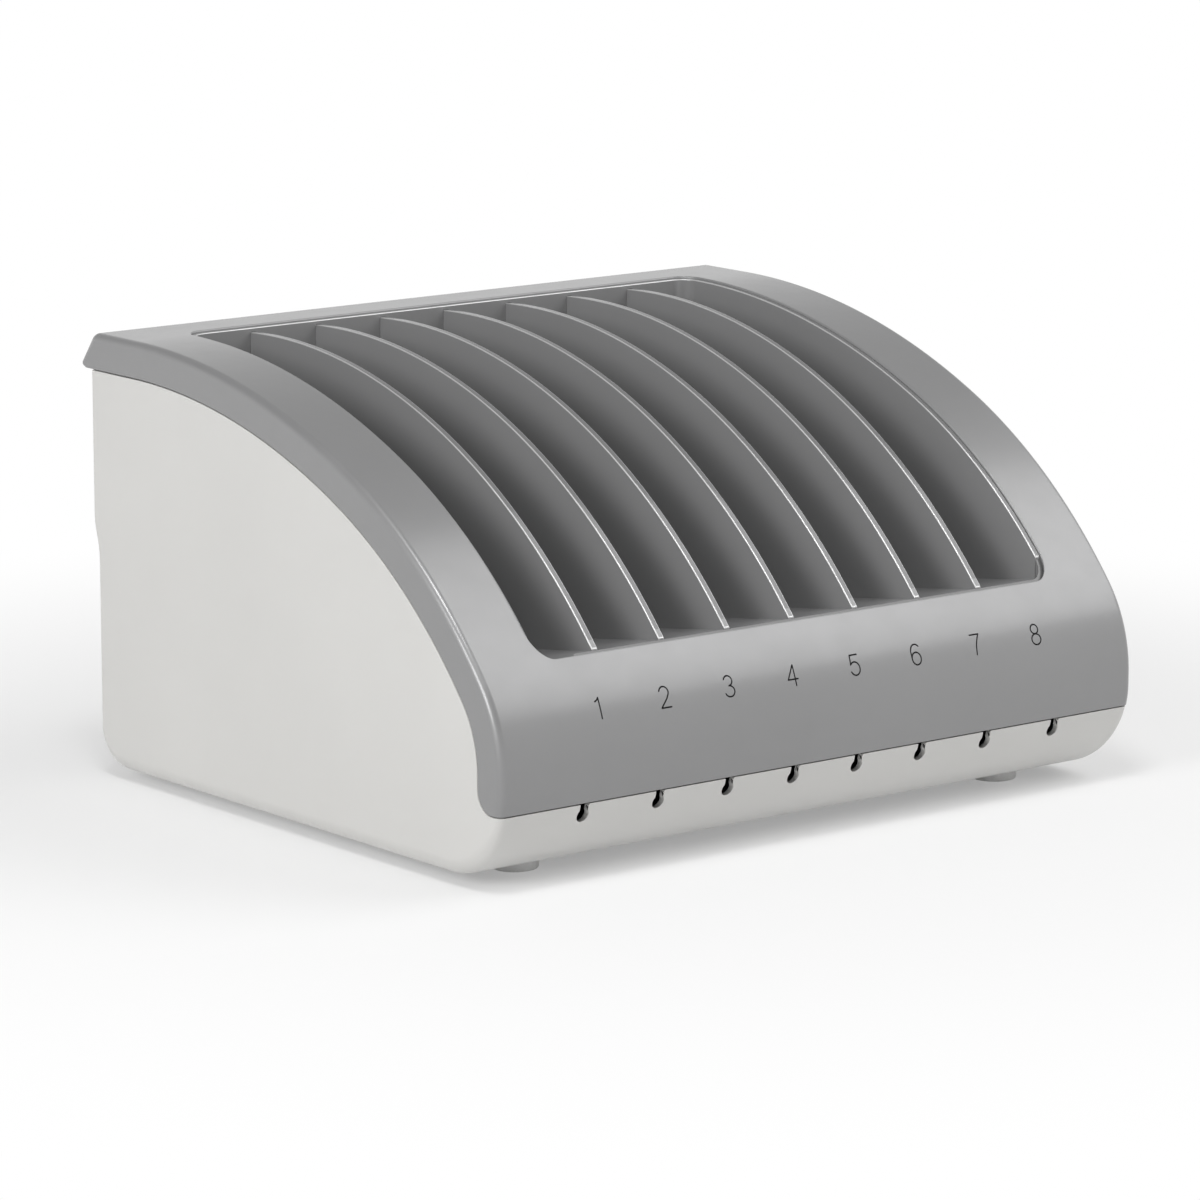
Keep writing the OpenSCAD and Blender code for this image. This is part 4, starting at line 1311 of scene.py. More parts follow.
class PlacedPieces(Tree):
    """Copies a piece to each corner of a rectangle, turned as asked."""

    def __init__(self) -> None:
        """Writes the tree."""
        super().__init__("placed_pieces", [
            ("Width", "NodeSocketFloat", 0.1), ("Depth", "NodeSocketFloat", 0.1),
            ("Centre", "NodeSocketVector", (0.0, 0.0, 0.0)), ("Rise", "NodeSocketFloat", 0.0),
            ("Turn", "NodeSocketVector", (0.0, 0.0, 0.0)), ("Finish", "NodeSocketMaterial", None),
        ])
        given = self.given.outputs
        size = {"Size X": given["Width"], "Size Y": given["Depth"], "Vertices X": 2, "Vertices Y": 2}
        grid = self.add("GeometryNodeMeshGrid", size)
        split = self.add("ShaderNodeSeparateXYZ", {0: self.add("GeometryNodeInputPosition").outputs[0]})
        share = self.sum("ADD", self.sum("DIVIDE", split.outputs[1], given["Depth"]), 0.5)
        lift = self.add("ShaderNodeCombineXYZ", {2: self.sum("MULTIPLY", share, given["Rise"])})
        offset = self.add("ShaderNodeVectorMath", {0: lift.outputs[0], 1: given["Centre"]}, operation="ADD")
        points = self.add("GeometryNodeSetPosition", {"Geometry": grid.outputs[0], "Offset": offset.outputs[0]})
        self.finish(points.outputs[0], given["Geometry"], given["Turn"])

    def run(
        self, piece: Piece, places: Triple, low: float = 0.0, rise: float = 0.0, turn: float = 0.0,
        finish: bpy.types.Material | None = None,
    ) -> Piece:
        """Copies a piece to four places.

        Args:
            piece: the piece, at the origin.
            places: X of the places on the right, and the two depths, in mm.
            low: height of the front two.
            rise: how much higher the rear two stand.
            turn: how far each copy is turned about X.
            finish: the material.

        Returns:
            The piece, now all four.
        """
        x, front, rear = places
        return run_tree(piece, self, {
            "Width": 2 * x * MM, "Depth": (rear - front) * MM, "Centre": Vector((0.0, (front + rear) / 2, low)) * MM,
            "Rise": rise * MM, "Turn": (turn, 0.0, 0.0), "Finish": finish,
        })


def run_tree(piece: Piece, tree: Tree, values: dict[str, object]) -> Piece:
    """Runs a tree on a piece and keeps its result as plain mesh.

    Args:
        piece: the piece.
        tree: the tree.
        values: a value for each named input.

    Returns:
        The piece.
    """
    step = piece.modifiers.new("copies", "NODES")
    step.node_group = tree.tree
    for label, value in values.items():
        if value is not None:
            step[tree.names[label]] = value
    piece.data.update()
    settle(piece)
    return piece


# ---------------------------------------------------------------- sub-assemblies


class Body(Enum):
    """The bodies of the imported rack."""

    BASE = "base"
    COVER = "cover"
    ROCKER = "rocker"


@dataclass
class Workshop:
    """What every sub-assembly shares.

    Attributes:
        housing: the rack's main sizes.
        wardrobe: the finishes.
        row: the tree that copies a piece in a row.
        placed: the tree that copies a piece to four places.
    """

    housing: Housing = field(default_factory=Housing)
    wardrobe: Wardrobe = field(default_factory=Wardrobe)
    row: RowOfPieces = field(default_factory=RowOfPieces)
    placed: PlacedPieces = field(default_factory=PlacedPieces)

    def hand_over(self, piece: Piece, finish: Finish, body: Body, *nodes: str) -> Piece:
        """Dresses a finished piece, puts it on its body and hides the CAD nodes that it stands for.

        Args:
            piece: the finished piece.
            finish: its finish.
            body: the body that it rides on.
            *nodes: the CAD nodes that it replaces.

        Returns:
            The piece.
        """
        self.wardrobe.dress(piece, finish)
        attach(piece, body.value)
        if nodes:
            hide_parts(*nodes)
        count, replaced = len(piece.data.polygons), ", ".join(nodes) or "no node"
        LOG.info("%s: %d faces, %s, on %s, for %s", piece.name, count, finish.slot, body.value, replaced)
        return piece

    def softened_copy(
        self, node: str, name: str, finish: Finish, body: Body, radius: float = 0.3, steps: int = 2
    ) -> Piece:
        """Makes a copy of a CAD node with rounded edges.

        Args:
            node: the CAD node.
            name: the new piece's name.
            finish: its finish.
            body: the body that it rides on.
            radius: radius of its edges, in mm.
            steps: steps over an edge.

        Returns:
            The new piece, which replaces the node.
        """
        work = bmesh.new()
        work.from_mesh(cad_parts[node].data)
        bmesh.ops.remove_doubles(work, verts=work.verts, dist=2e-6)
        bmesh.ops.dissolve_limit(work, angle_limit=math.radians(1.0), verts=work.verts, edges=work.edges)
        mesh = bpy.data.meshes.new(name)
        work.to_mesh(mesh)
        work.free()
        piece = bpy.data.objects.new(name, mesh)
        bpy.context.collection.objects.link(piece)
        round_all(piece, radius, steps, 40.0)
        soften(piece)
        return self.hand_over(piece, finish, body, node)


@dataclass
class BaseShell:
    """The white tub: walls, cable notches, vents, windows, posts, bosses and hinge ears.

    Attributes:
        shop: what the sub-assemblies share.
        notch_count: how many cable notches there are.
        notch_pitch: distance between the middle ones.
        notch_fan: share by which it grows towards the sides.
        notch_width: width of a notch at the rim.
        notch_seat: diameter of its round seat.
        notch_depth: its depth below the rim.
        vent_count: how many rear vents there are.
        vent_pitch: distance between them.
        vent_size: width and height of a vent.
        vent_place: their middle in X and Z.
        windows: centre X, width and height of the holes for inlet and switch.
        rear_cut: depths between which the rear wall is cut.
        ears: distance of a hinge's two ears from its middle, and half the width of one.
        post_y: depth of the posts that the cover rests on.
    """

    shop: Workshop
    notch_count: int = 8
    notch_pitch: float = 35.28
    notch_fan: float = 0.0047
    notch_width: float = 4.3
    notch_seat: float = 6.0
    notch_depth: float = 8.0
    vent_count: int = 9
    vent_pitch: float = 9.0
    vent_size: Point = (3.0, 26.0)
    vent_place: Point = (59.995, 30.6)
    windows: tuple[Triple, ...] = ((-82.012, 27.6, 19.8), (-45.936, 19.2, 13.2))
    rear_cut: Point = (138.0, 144.0)
    ears: Point = (11.3, 3.0)
    post_y: float = -61.12

    def notches(self) -> Piece:
        """Makes the cutter of the cable notches, each a slot over a round seat."""
        house, radius = self.shop.housing, self.notch_seat / 2
        rim = house.seam_z - house.seam_gap
        seat = (0.0, rim - self.notch_depth + radius)
        half = self.notch_width / 2
        turn = math.degrees(math.acos(half / radius))
        outline = [(half, rim + 1), *circle(seat, radius, 36, turn, -180 - turn), (-half, rim + 1)]
        cutter = prism("notch_cutter", outline, house.front - 1, house.front + 11, "y")
        return self.shop.row.run(cutter, self.notch_count, self.notch_pitch, 0.0, self.notch_fan)

    def vents(self) -> Piece:
        """Makes the cutter of the rear vents, each an upright slot with round ends."""
        (width, height), (x, z) = self.vent_size, self.vent_place
        rise = (height - width) / 2
        outline = [*circle((0.0, z + rise), width / 2, 14, 0, 180), *circle((0.0, z - rise), width / 2, 14, 180, 360)]
        cutter = prism("vent_cutter", outline, *self.rear_cut, "y")
        return self.shop.row.run(cutter, self.vent_count, self.vent_pitch, x)

    def edge_radius(self, place: Vector) -> float:
        """Gives the radius of an edge of the tub at a place in mm."""
        if place.y < -140 and 20 < place.z < 34 and abs(place.x) < 160:
            return 0.35
        if place.z < 6:
            return 0.25
        if place.y > 135 and place.z < 60:
            return 0.0 if place.x < 0 else 0.35 if place.y > 141 else 0.1
        return 0.5

    def walls(self) -> Piece:
        """Makes the tub's walls with their openings and rounded rims."""
        house = self.shop.housing
        tub = rounded_body("moulded_base", house.tub_outline, house.width / 2)
        reach = house.width / 2 + 1
        carve(tub, Carve.KEEP, prism("below_cover", house.under_cover(house.seam_gap), -reach, reach, "x"))
        inside = rounded_body("tub_inside", house.core_outline, house.inner)
        carve(tub, Carve.CUT, inside, self.notches(), self.vents())
        z, (near, far) = self.vent_place[1], self.rear_cut
        for x, width, height in self.windows:
            low, high = (x - width / 2, near, z - height / 2), (x + width / 2, far, z + height / 2)
            carve(tub, Carve.CUT, block("window", low, high))
        carve(tub, Carve.CUT, self.shop.placed.run(rod("recess", 10.3, 3.0, 5.0, 64), house.feet))
        round_edges(tub, self.edge_radius, 0.5, 3)
        return tub

    def fittings(self) -> list[Piece]:
        """Makes the posts, the hinge ears and the screw bosses."""
        house, shop = self.shop.housing, self.shop
        outer = house.inner - 0.3
        rim, top = house.height_at(self.post_y - 3, 16.5), house.height_at(self.post_y - 3, 3.0) - 0.15
        (x, y, z), r, wall = house.hinge, house.hinge_radius, house.back - 1.5
        ear = [(y, z - r), *circle((y, z), r, 24, -90, 90), (y, z + r), (wall, z + r), (wall, z - r)]
        away, half = self.ears
        made = []
        for side in (-1, 1):
            for reach, head in ((outer, top), (outer + 1.8, rim - 1)):
                near, far = sorted((side * (outer - 3), side * reach))
                post = block("rest_post", (near, self.post_y - 3, rim - 12), (far, self.post_y + 3, head))
                made.append(round_all(post, 0.4))
            for middle in (side * x - away, side * x + away):
                made.append(round_all(prism("hinge_ear", ear, middle - half, middle + half, "x"), 0.3))
        boss = [(0.0, 5.5), (4.6, 5.5), (4.6, house.floor - 0.05), (4.0, house.floor + 0.25), (3.6, house.floor + 1.0)]
        tall = turned("foot_boss", [*boss, (3.6, 13.7), (3.3, 14.0), (0.0, 14.0)], 40)
        low = turned("charger_boss", [*boss, (3.6, 10.0), (0.0, 10.0)], 40)
        return [*made, shop.placed.run(tall, house.feet), shop.placed.run(low, house.charger_screws)]

    def build(self) -> None:
        """Makes the tub and lays its exact directions."""
        house, shop = self.shop.housing, self.shop
        tub = self.walls()
        carve(tub, Carve.JOIN, *self.fittings())
        x, y, z = house.hinge
        for side in (-1, 1):
            carve(tub, Carve.CUT, prism("pin_hole", circle((y, z), 1.52, 32), side * x - 20, side * x + 20, "x"))
        for name, places, low, high in (
            ("foot_hole", house.feet, 4.0, 13.0), ("charger_hole", house.charger_screws, 5.5, 11.5),
        ):
            carve(tub, Carve.CUT, shop.placed.run(rod(name, house.screw_hole, low, high), places))
        soften(tub)
        lay_directions(tub, [Skin(house.tub_outline, house.width / 2), Skin(house.core_outline, house.inner, -1.0)])
        shop.hand_over(tub, Finish.WHITE_SHELL, Body.BASE, "base_shell")


def ellipse(centre: Point, radii: Point, start: float, end: float, steps: int = 26) -> list[Point]:
    """Gives points along an arc of an ellipse, with its angles in degrees."""
    angles = [math.radians(start + (end - start) * k / steps) for k in range(steps + 1)]
    return [(centre[0] + radii[0] * math.cos(a), centre[1] + radii[1] * math.sin(a)) for a in angles]


def spline(p: float, q: float, r: float, s: float, t: float) -> float:
    """Gives the value at a share t of the way from q to r, on the curve through four values."""
    return 0.5 * (2 * q + (r - p) * t + (2 * p - 5 * q + 4 * r - s) * t * t + (3 * q - p - 3 * r + s) * t**3)


@dataclass
class Numerals:
    """The plain bay numbers 1 to 8, engraved in the apron with one thin stroke.

    Attributes:
        housing: the rack's main sizes.
        pitch: distance between them.
        place: depth of their middle on the apron.
        stroke: half the width of a groove.
        depth: depth of a groove.
    """

    housing: Housing
    pitch: float = 34.55
    place: float = -148.3
    stroke: float = 0.34
    depth: float = 1.5

    def strokes(self, number: int) -> list[list[Point]]:
        """Gives a number's strokes in mm about its middle.

        Args:
            number: the number, from 1 to 8.

        Returns:
            Lists of points; a closed stroke ends where it starts.
        """
        return {
            1: [[(0.5, -4.5), (0.5, 4.5)], [(0.5, 4.4), (-0.3, 3.5), (-1.5, 2.9)]],
            2: [
                [*ellipse((0.0, 2.1), (2.35, 2.4), 165, -25), (0.9, -0.8), (-1.2, -2.9), (-2.5, -4.3)],
                [(-2.55, -4.45), (2.6, -4.45)],
            ],
            3: [ellipse((-0.1, 2.35), (2.15, 2.15), 160, -90), ellipse((-0.1, -2.15), (2.55, 2.35), 90, -160)],
            4: [[(1.1, 4.4), (-2.7, -1.6)], [(-2.75, -1.7), (2.7, -1.7)], [(1.15, 4.45), (1.15, -4.5)]],
            5: [[(-1.7, 4.4), (2.3, 4.4)], [(-1.7, 4.4), (-2.15, 0.3)], ellipse((-0.1, -1.6), (2.6, 2.9), 140, -155)],
            6: [
                [*ellipse((0.3, 0.9), (2.8, 3.6), 45, 180), (-2.5, -1.0), (-2.5, -1.7)],
                ellipse((0.0, -1.75), (2.5, 2.75), 180, -180),
            ],
            7: [[(-2.5, 4.4), (2.5, 4.4)], [(2.45, 4.35), (1.0, 1.8), (0.0, -0.9), (-0.5, -4.5)]],
            8: [ellipse((0.0, 2.4), (2.05, 2.1), 90, -270), ellipse((0.0, -2.15), (2.55, 2.4), 90, -270)],
        }[number]

    def smooth(self, points: list[Point]) -> list[Point]:
        """Puts more points along a stroke, curved where it has a few loose ones."""
        if len(points) > 20:
            return points
        if len(points) == 2:
            parts = max(4, int(math.dist(*points) / 0.8))
            return [tuple(a + (b - a) * k / parts for a, b in zip(*points)) for k in range(parts + 1)]
        padded = [points[0], *points, points[-1]]
        out = []
        for span in zip(padded, padded[1:], padded[2:], padded[3:]):
            out += [tuple(spline(*values, k / 8) for values in zip(*span)) for k in range(8)]
        return [*out, points[-1]]

    def groove(self, name: str, number: int, points: list[Point]) -> Piece:
        """Makes the cutter of one stroke, a rod with round ends bent to the apron.

        Args:
            name: the cutter's name.
            number: the number that it belongs to.
            points: the stroke's points.

        Returns:
            The cutter.
        """
        centre, radius = self.housing.front_centre, self.housing.front_radius
        middle = math.acos((self.place - centre[0]) / radius)
        line = self.smooth(points)
        closed = math.dist(line[0], line[-1]) < 1e-6
        if closed:
            line = line[:-1]
        rings: list[tuple[Vector, Vector, Vector, float]] = []
        last = len(line) - 1
        for k, (u, v) in enumerate(line):
            before = line[k - 1] if k or closed else line[0]
            after = line[(k + 1) % len(line)] if closed or k < last else line[last]
            angle = middle - v / radius
            out = Vector((0.0, math.cos(angle), math.sin(angle)))
            up = Vector((0.0, math.sin(angle), -math.cos(angle)))
            along = (Vector((1.0, 0.0, 0.0)) * (after[0] - before[0]) + up * (after[1] - before[1])).normalized()
            place = Vector(((number - 4.5) * self.pitch + u, centre[0], centre[1])) + out * (radius - 0.02)
            rings.append((place, out, along, self.stroke))
        if not closed:
            for end, sign in ((0, -1.0), (-1, 1.0)):
                place, out, along, _ = rings[end]
                tip = along * sign * self.stroke
                caps = [(place + tip * s, out, along, self.stroke * c) for s, c in ((0.5, 0.866), (0.85, 0.527))]
                rings = [*reversed(caps), *rings] if sign < 0 else [*rings, *caps]
        sides, deep = 12, self.depth / self.stroke
        turns = [2 * math.pi * k / sides for k in range(sides)]
        corners = []
        for place, out, along, size in rings:
            across = along.cross(out)
            corners += [tuple(place + (out * deep * math.cos(t) + across * math.sin(t)) * size) for t in turns]
        count = len(rings)
        faces = []
        for a in range(count if closed else count - 1):
            here, there = a * sides, (a + 1) % count * sides
            faces += [(here + k, here + (k + 1) % sides, there + (k + 1) % sides, there + k) for k in range(sides)]
        if not closed:
            faces += [tuple(range(sides)), tuple(range((count - 1) * sides, count * sides))]
        return solid(name, corners, faces)

    def cutters(self) -> list[Piece]:
        """Makes the cutters: the first strokes of all numbers, then the second ones, and so on."""
        made = []
        for layer in range(3):
            strokes = [(n, self.strokes(n)[layer]) for n in range(1, 9) if len(self.strokes(n)) > layer]
            made.append(unite(f"numeral_strokes_{layer}", [self.groove("stroke", n, points) for n, points in strokes]))
        return made


@dataclass
class Cover:
    """The grey cover: top, apron with its numbers, side bands, rear lip, bosses and knuckles.

    Attributes:
        shop: what the sub-assemblies share.
        edge: radius of the opening's edge.
        knuckle: length of a knuckle.
    """

    shop: Workshop
    edge: float = 0.7
    knuckle: float = 16.0

    def hollow(self) -> Piece:
        """Makes the inside of the cover, open below."""
        house = self.shop.housing
        tip, roof, lean = house.rear - house.wall, house.height - house.wall, math.radians(house.lip_lean)
        lip = (house.rear - house.lip_radius, house.band_z + house.lip_radius)
        thin = house.lip_radius - house.wall
        outline = [
            (tip, -1.0), (tip, lip[1] + (thin + (lip[0] - tip) * math.cos(lean)) / math.sin(lean)),
            (lip[0] + (thin - (roof - lip[1]) * math.sin(lean)) / math.cos(lean), roof),
            *((s.y, s.z) for s in house.crown(house.wall, 0.0)), (house.front + house.wall, -1.0),
        ]
        return prism("cover_inside", outline, -house.inner, house.inner, "x")

    def edge_radius(self, place: Vector) -> float:
        """Gives the radius of an edge of the cover at a place in mm."""
        house = self.shop.housing
        at_opening = abs(place.x) < house.open_half + 0.5 and house.open_y0 - 0.5 < place.y < house.open_y1 + 0.5
        if at_opening:
            return self.edge if place.z > house.height_at(place.y, 1.0) else 0.2
        if place.y < -140 and place.z < 38 and abs(place.x) > house.inner - 2:
            return 0.0
        return 0.4 if place.z < house.height_at(place.y, 14.0) or abs(place.x) > house.inner - 1 else 0.0

    def ink(self, cover: Piece) -> None:
        """Marks the faces of the engraved numbers for the finish's painted shade."""
        house = self.shop.housing
        marks = cover.data.attributes.new(ENGRAVED, "FLOAT", "FACE")
        for face, mark in zip(cover.data.polygons, marks.data):
            place = face.center / MM
            depth = house.front_radius - math.dist(house.front_centre, (place.y, place.z))
            mark.value = float(0.04 < depth < house.wall - 0.5 and place.y < -140 and abs(place.x) < house.open_half)

    def build(self) -> None:
        """Makes the cover and lays its exact directions."""
        house, shop = self.shop.housing, self.shop
        cover = rounded_body("moulded_cover", house.cover_outline(), house.width / 2, 12)
        reach = house.width / 2 + 1
        plan = rounded_plan((-house.open_half, house.open_y0), (house.open_half, house.open_y1), house.open_corner)
        tools = (
            prism("below_bands", house.under_cover(0.0), -reach, reach, "x"),
            self.hollow(),
            prism("opening", plan, 0.0, house.height + 1, "z"),
        )
        carve(cover, Carve.CUT, *tools)
        round_edges(cover, self.edge_radius, self.edge, 4)
        x, y, z = house.hinge
        screw_x, *depths = house.tray_screws
        half = self.knuckle / 2
        for side in (-1, 1):
            near, far = side * x - half, side * x + half
            barrel = round_all(prism("knuckle", circle((y, z), house.hinge_radius, 40), near, far, "x"), 0.3)
            web = block("knuckle_web", (near, house.rear - house.wall, z), (far, house.rear - 1.0, house.band_z + 2.0))
            carve(cover, Carve.JOIN, barrel, web)
            carve(cover, Carve.CUT, prism("knuckle_hole", circle((y, z), 1.56, 32), near - 1, far + 1, "x"))
            for depth in depths:
                place = Vector((side * screw_x, depth, house.height_at(depth, house.wall))) * MM
                boss = turned("tray_boss", [(0.0, -9.0), (3.3, -9.0), (3.6, -8.7), (3.6, 1.5), (0.0, 1.5)], 40)
                hole = rod("tray_boss_hole", house.screw_hole, -10.0, -1.0)
                for part in (boss, hole):
                    part.data.transform(Matrix.Translation(place))
                carve(cover, Carve.JOIN, boss)
                carve(cover, Carve.CUT, hole)
        carve(cover, Carve.CUT, *Numerals(house).cutters(), weld=2e-6)
        self.ink(cover)
        soften(cover)
        lay_directions(cover, [Skin(house.cover_outline(), house.width / 2)])
        shop.hand_over(cover, Finish.GREY_COVER, Body.COVER, "cover_frame")


@dataclass
class Tray:
    """The dark tray in the opening, and the seven dividers in its grooves.

    Attributes:
        shop: what the sub-assemblies share.
        wall: thickness of its walls.
        floor: thickness of its floor.
        fall: how far the floor falls from front to rear.
        fit: gap round the tray.
        drop: how far its rim lies below the cover's face.
        edge: radius of the rounded edges of its walls and dividers.
        pitch: distance between the dividers.
        thickness: thickness of a divider.
        groove: depth of the dividers' grooves.
        groove_fit: gap in them.
        nose_back: how far behind the front wall the dividers' front ends lie.
        peak_share: how far before the rear wall a divider is highest, as a share of the tray's inner depth.
        peak_drop: how far that highest point lies below the rack's height.
        skirt: thickness of its wall round the front corners.
        front_drop: how far its rim lies below the cover's face round the front corners.
        left_drops: how far the left wall's outer and inner part lie below it.
        left_end: depth at which the left wall rises to the rest.
    """

    shop: Workshop
    wall: float = 2.6
    floor: float = 2.4
    fall: float = 37.3368
    fit: float = 0.15
    drop: float = 0.9
    edge: float = 0.45
    pitch: float = 35.497
    thickness: float = 3.0
    groove: float = 0.8
    groove_fit: float = 0.1
    nose_back: float = 5.8
    peak_share: float = 0.067
    peak_drop: float = 2.3
    skirt: float = 2.1
    front_drop: float = 1.7
    left_drops: Point = (2.6, 5.5)
    left_end: float = 107.0

    @property
    def rear(self) -> float:
        """Depth of the inner face of the rear wall."""
        return self.shop.housing.open_y1 - self.fit - self.wall

    @property
    def nose(self) -> float:
        """Depth of the dividers' front ends."""
        return self.shop.housing.open_y0 + self.fit + self.wall + self.nose_back

    def floor_at(self, y: float) -> float:
        """Gives the height of the floor's face at a depth."""
        house = self.shop.housing
        return house.height_at(house.open_y0) - 0.4 - (y - house.open_y0) * self.fall / (house.open_y1 - house.open_y0)

    def over_floor(self, drop: float) -> list[Point]:
        """Draws what lies over a plane parallel to the floor."""
        reach, top = 400.0, 500.0
        low, high = self.floor_at(-reach) - drop, self.floor_at(reach) - drop
        return [(-reach, low), (reach, high), (reach, top), (-reach, top)]

    def plan(self, inset: float) -> list[Point]:
        """Draws the opening's plan, drawn in by an inset."""
        house = self.shop.housing
        x = house.open_half - inset
        return rounded_plan((-x, house.open_y0 + inset), (x, house.open_y1 - inset), house.open_corner - inset)

    def divider_outline(self, grow: float) -> list[Point]:
        """Draws a divider's side, widened by a gap for its groove."""
        nose, rear, house = self.nose, self.rear, self.shop.housing
        nose_z = self.floor_at(nose) + 0.8
        peak = (rear - self.peak_share * (rear - (nose - self.nose_back)), house.height - self.peak_drop)
        radius = ((peak[0] - nose) ** 2 + (peak[1] - nose_z) ** 2) / (2 * (peak[1] - nose_z))
        start = math.degrees(math.acos((rear + self.groove + grow - peak[0]) / (radius + grow)))
        end = math.degrees(math.acos((nose - peak[0]) / radius))
        arc = circle((peak[0], peak[1] - radius), radius + grow, 64, start, end)
        extra = [(nose - grow, nose_z)] if grow > 0 else []
        low = self.groove + grow
        return [(nose - grow, self.floor_at(nose) - low), (rear + low, self.floor_at(rear) - low), *arc, *extra]

    def edge_radius(self, place: Vector) -> float:
        """Gives the radius of an edge of the tray at a place in mm."""
        house = self.shop.housing
        if place.y > self.nose - 0.5 and place.z > house.height_at(place.y, self.drop + 0.3):
            return self.edge
        return 0.3 if place.z < self.floor_at(place.y) - 0.3 else 0.0

    def lower_rim(self, tray: Piece, drop: float, across: Point, end: float) -> None:
        """Cuts a stretch of the rim lower.

        Args:
            tray: the tray.
            drop: how far below the cover's face it then lies.
            across: the stretch's two sides.
            end: the depth that it reaches back to.
        """
        house = self.shop.housing
        crown = [(s.y, s.z) for s in house.crown(drop, 0.0) if s.y < end]
        top = house.height + 5
        above = [(end, house.height_at(end, drop)), *crown, (house.front + drop, top), (end, top)]
        cutter = prism("rim_cutter", above, *across, "x")
        carve(cutter, Carve.KEEP, prism("over_floor", self.over_floor(0.0), across[0] - 1, across[1] + 1, "x"))
        carve(tray, Carve.CUT, cutter)

    def mark_shaded_crests(self, piece: Piece) -> None:
        """Marks the flat crests of walls and dividers, and the ledges at the front corners, for the finish's painted
        shade.
        """
        shaded_crests = piece.data.attributes.new(CREST_SHADE, "FLOAT", "FACE")
        rounded = piece.data.attributes[ROUNDED]
        for face, crest_shade, edge in zip(piece.data.polygons, shaded_crests.data, rounded.data):
            place = face.center / MM
            # share of painted shade: 0.6 on crests behind the noses, 0.75 on the ledges at the front corners
            share, least = (0.6, 3.0) if place.y > self.nose - 0.5 else (0.75, 0.1)
            high = place.z > self.floor_at(place.y) + least
            crest_shade.value = share if high and face.normal.z > 0.5 and edge.value < 0.5 else 0.0

    def tray(self) -> Piece:
        """Makes the tray with its grooves and screw tabs."""
        house, shop = self.shop.housing, self.shop
        reach = house.width / 2
        tray = prism("moulded_tray", self.plan(self.fit), 0.0, house.height, "z")
        slope = math.cos(math.atan(self.fall / (house.open_y1 - house.open_y0)))
        crown = [(s.y, s.z) for s in house.crown(self.drop, 0.0)]
        under = [(house.rear, 0.0), (house.rear, house.height - self.drop), *crown, (house.front + self.drop, 0.0)]
        over_floor = prism("over_floor", self.over_floor(self.floor / slope), -reach, reach, "x")
        carve(tray, Carve.KEEP, over_floor, prism("under_face", under, -reach, reach, "x"))
        inside = prism("tray_inside", self.plan(self.fit + self.wall), 0.0, house.height + 1, "z")
        front = prism("tray_front", self.plan(self.fit + self.skirt), 0.0, house.height + 1, "z")
        before = block("before_nose", (-reach, house.open_y0 - 1, 0.0), (reach, self.nose, house.height + 1))
        carve(front, Carve.KEEP, before)
        carve(inside, Carve.JOIN, front)
        carve(inside, Carve.KEEP, prism("over_floor", self.over_floor(0.0), -reach, reach, "x"))
        carve(tray, Carve.CUT, inside)
        (outer, inner), left = self.left_drops, -house.open_half
        for drop, across, end in (
            (self.front_drop, (-reach, reach), self.nose),
            (outer, (-reach, left + 20), self.left_end),
            (inner, (left + self.fit + self.skirt, left + 20), self.left_end),
        ):
            self.lower_rim(tray, drop, across, end)
        round_edges(tray, self.edge_radius, self.edge, 3)
        self.mark_shaded_crests(tray)
        half = self.thickness / 2 + self.groove_fit
        groove = prism("groove_cutter", self.divider_outline(self.groove_fit), -half, half, "x")
        carve(tray, Carve.CUT, shop.row.run(groove, 7, self.pitch))
        screw_x, *depths = house.tray_screws
        for side in (-1, 1):
            for depth in depths:
                top = house.height_at(depth, house.wall) - 9.0
                near, far = sorted((side * (house.open_half - self.fit - self.wall / 2), side * 150.7))
                tab = round_all(block("tray_tab", (near, depth - 6, top - 2.5), (far, depth + 6, top)), 0.4)
                hole = prism("tab_hole", circle((side * screw_x, depth), 1.8, 28), top - 4, top + 1, "z")
                carve(carve(tray, Carve.JOIN, tab), Carve.CUT, hole)
        soften(tray, 40.0)
        return shop.hand_over(tray, Finish.GREY_TRAY, Body.COVER, "rack_tray")

    def divider_edge(self, place: Vector) -> float:
        """Gives the radius of an edge of a divider: round over the top and the nose, sharp in its groove."""
        in_groove = place.z < self.floor_at(place.y) + 0.2 or place.y > self.rear + 0.2
        return 0.0 if in_groove else self.edge

    def dividers(self) -> Piece:
        """Makes the seven dividers as one row."""
        half = self.thickness / 2
        divider = prism("divider_row", self.divider_outline(0.0), -half, half, "x")
        round_edges(divider, self.divider_edge, self.edge, 3)
        self.mark_shaded_crests(divider)
        self.shop.row.run(divider, 7, self.pitch, finish=self.shop.wardrobe.of(Finish.GREY_TRAY))
        soften(divider, 40.0)
        return self.shop.hand_over(divider, Finish.GREY_TRAY, Body.COVER, *(f"divider_{k}" for k in range(1, 8)))

    def build(self) -> None:
        """Makes the tray and its dividers."""
        self.tray()
        self.dividers()


@dataclass
class Feet:
    """The four rubber feet.

    Attributes:
        shop: what the sub-assemblies share.
        radius: their radius.
        height: their height, with what is let into the bottom.
    """

    shop: Workshop
    radius: float = 10.2
    height: float = 5.0

    def build(self) -> None:
        """Turns one foot and places it four times."""
        r, h, shop = self.radius, self.height, self.shop
        rim = circle((r - 1.0, 1.0), 1.0, 8, -90, 0)
        outline = [
            (1.8, 2.4), (3.3, 2.4), (3.3, 0.35), (3.6, 0.0), (5.4, 0.0), (5.6, 0.3), (6.0, 0.3), (6.2, 0.0),
            *rim, (r, h - 0.3), (r - 0.3, h), (1.8, h),
        ]
        foot = turned("rubber_feet", outline, 64)
        shop.placed.run(foot, shop.housing.feet, finish=shop.wardrobe.of(Finish.FOOT_RUBBER))
        soften(foot)
        nodes = ("foot_front_left", "foot_front_right", "foot_rear_left", "foot_rear_right")
        shop.hand_over(foot, Finish.FOOT_RUBBER, Body.BASE, *nodes)


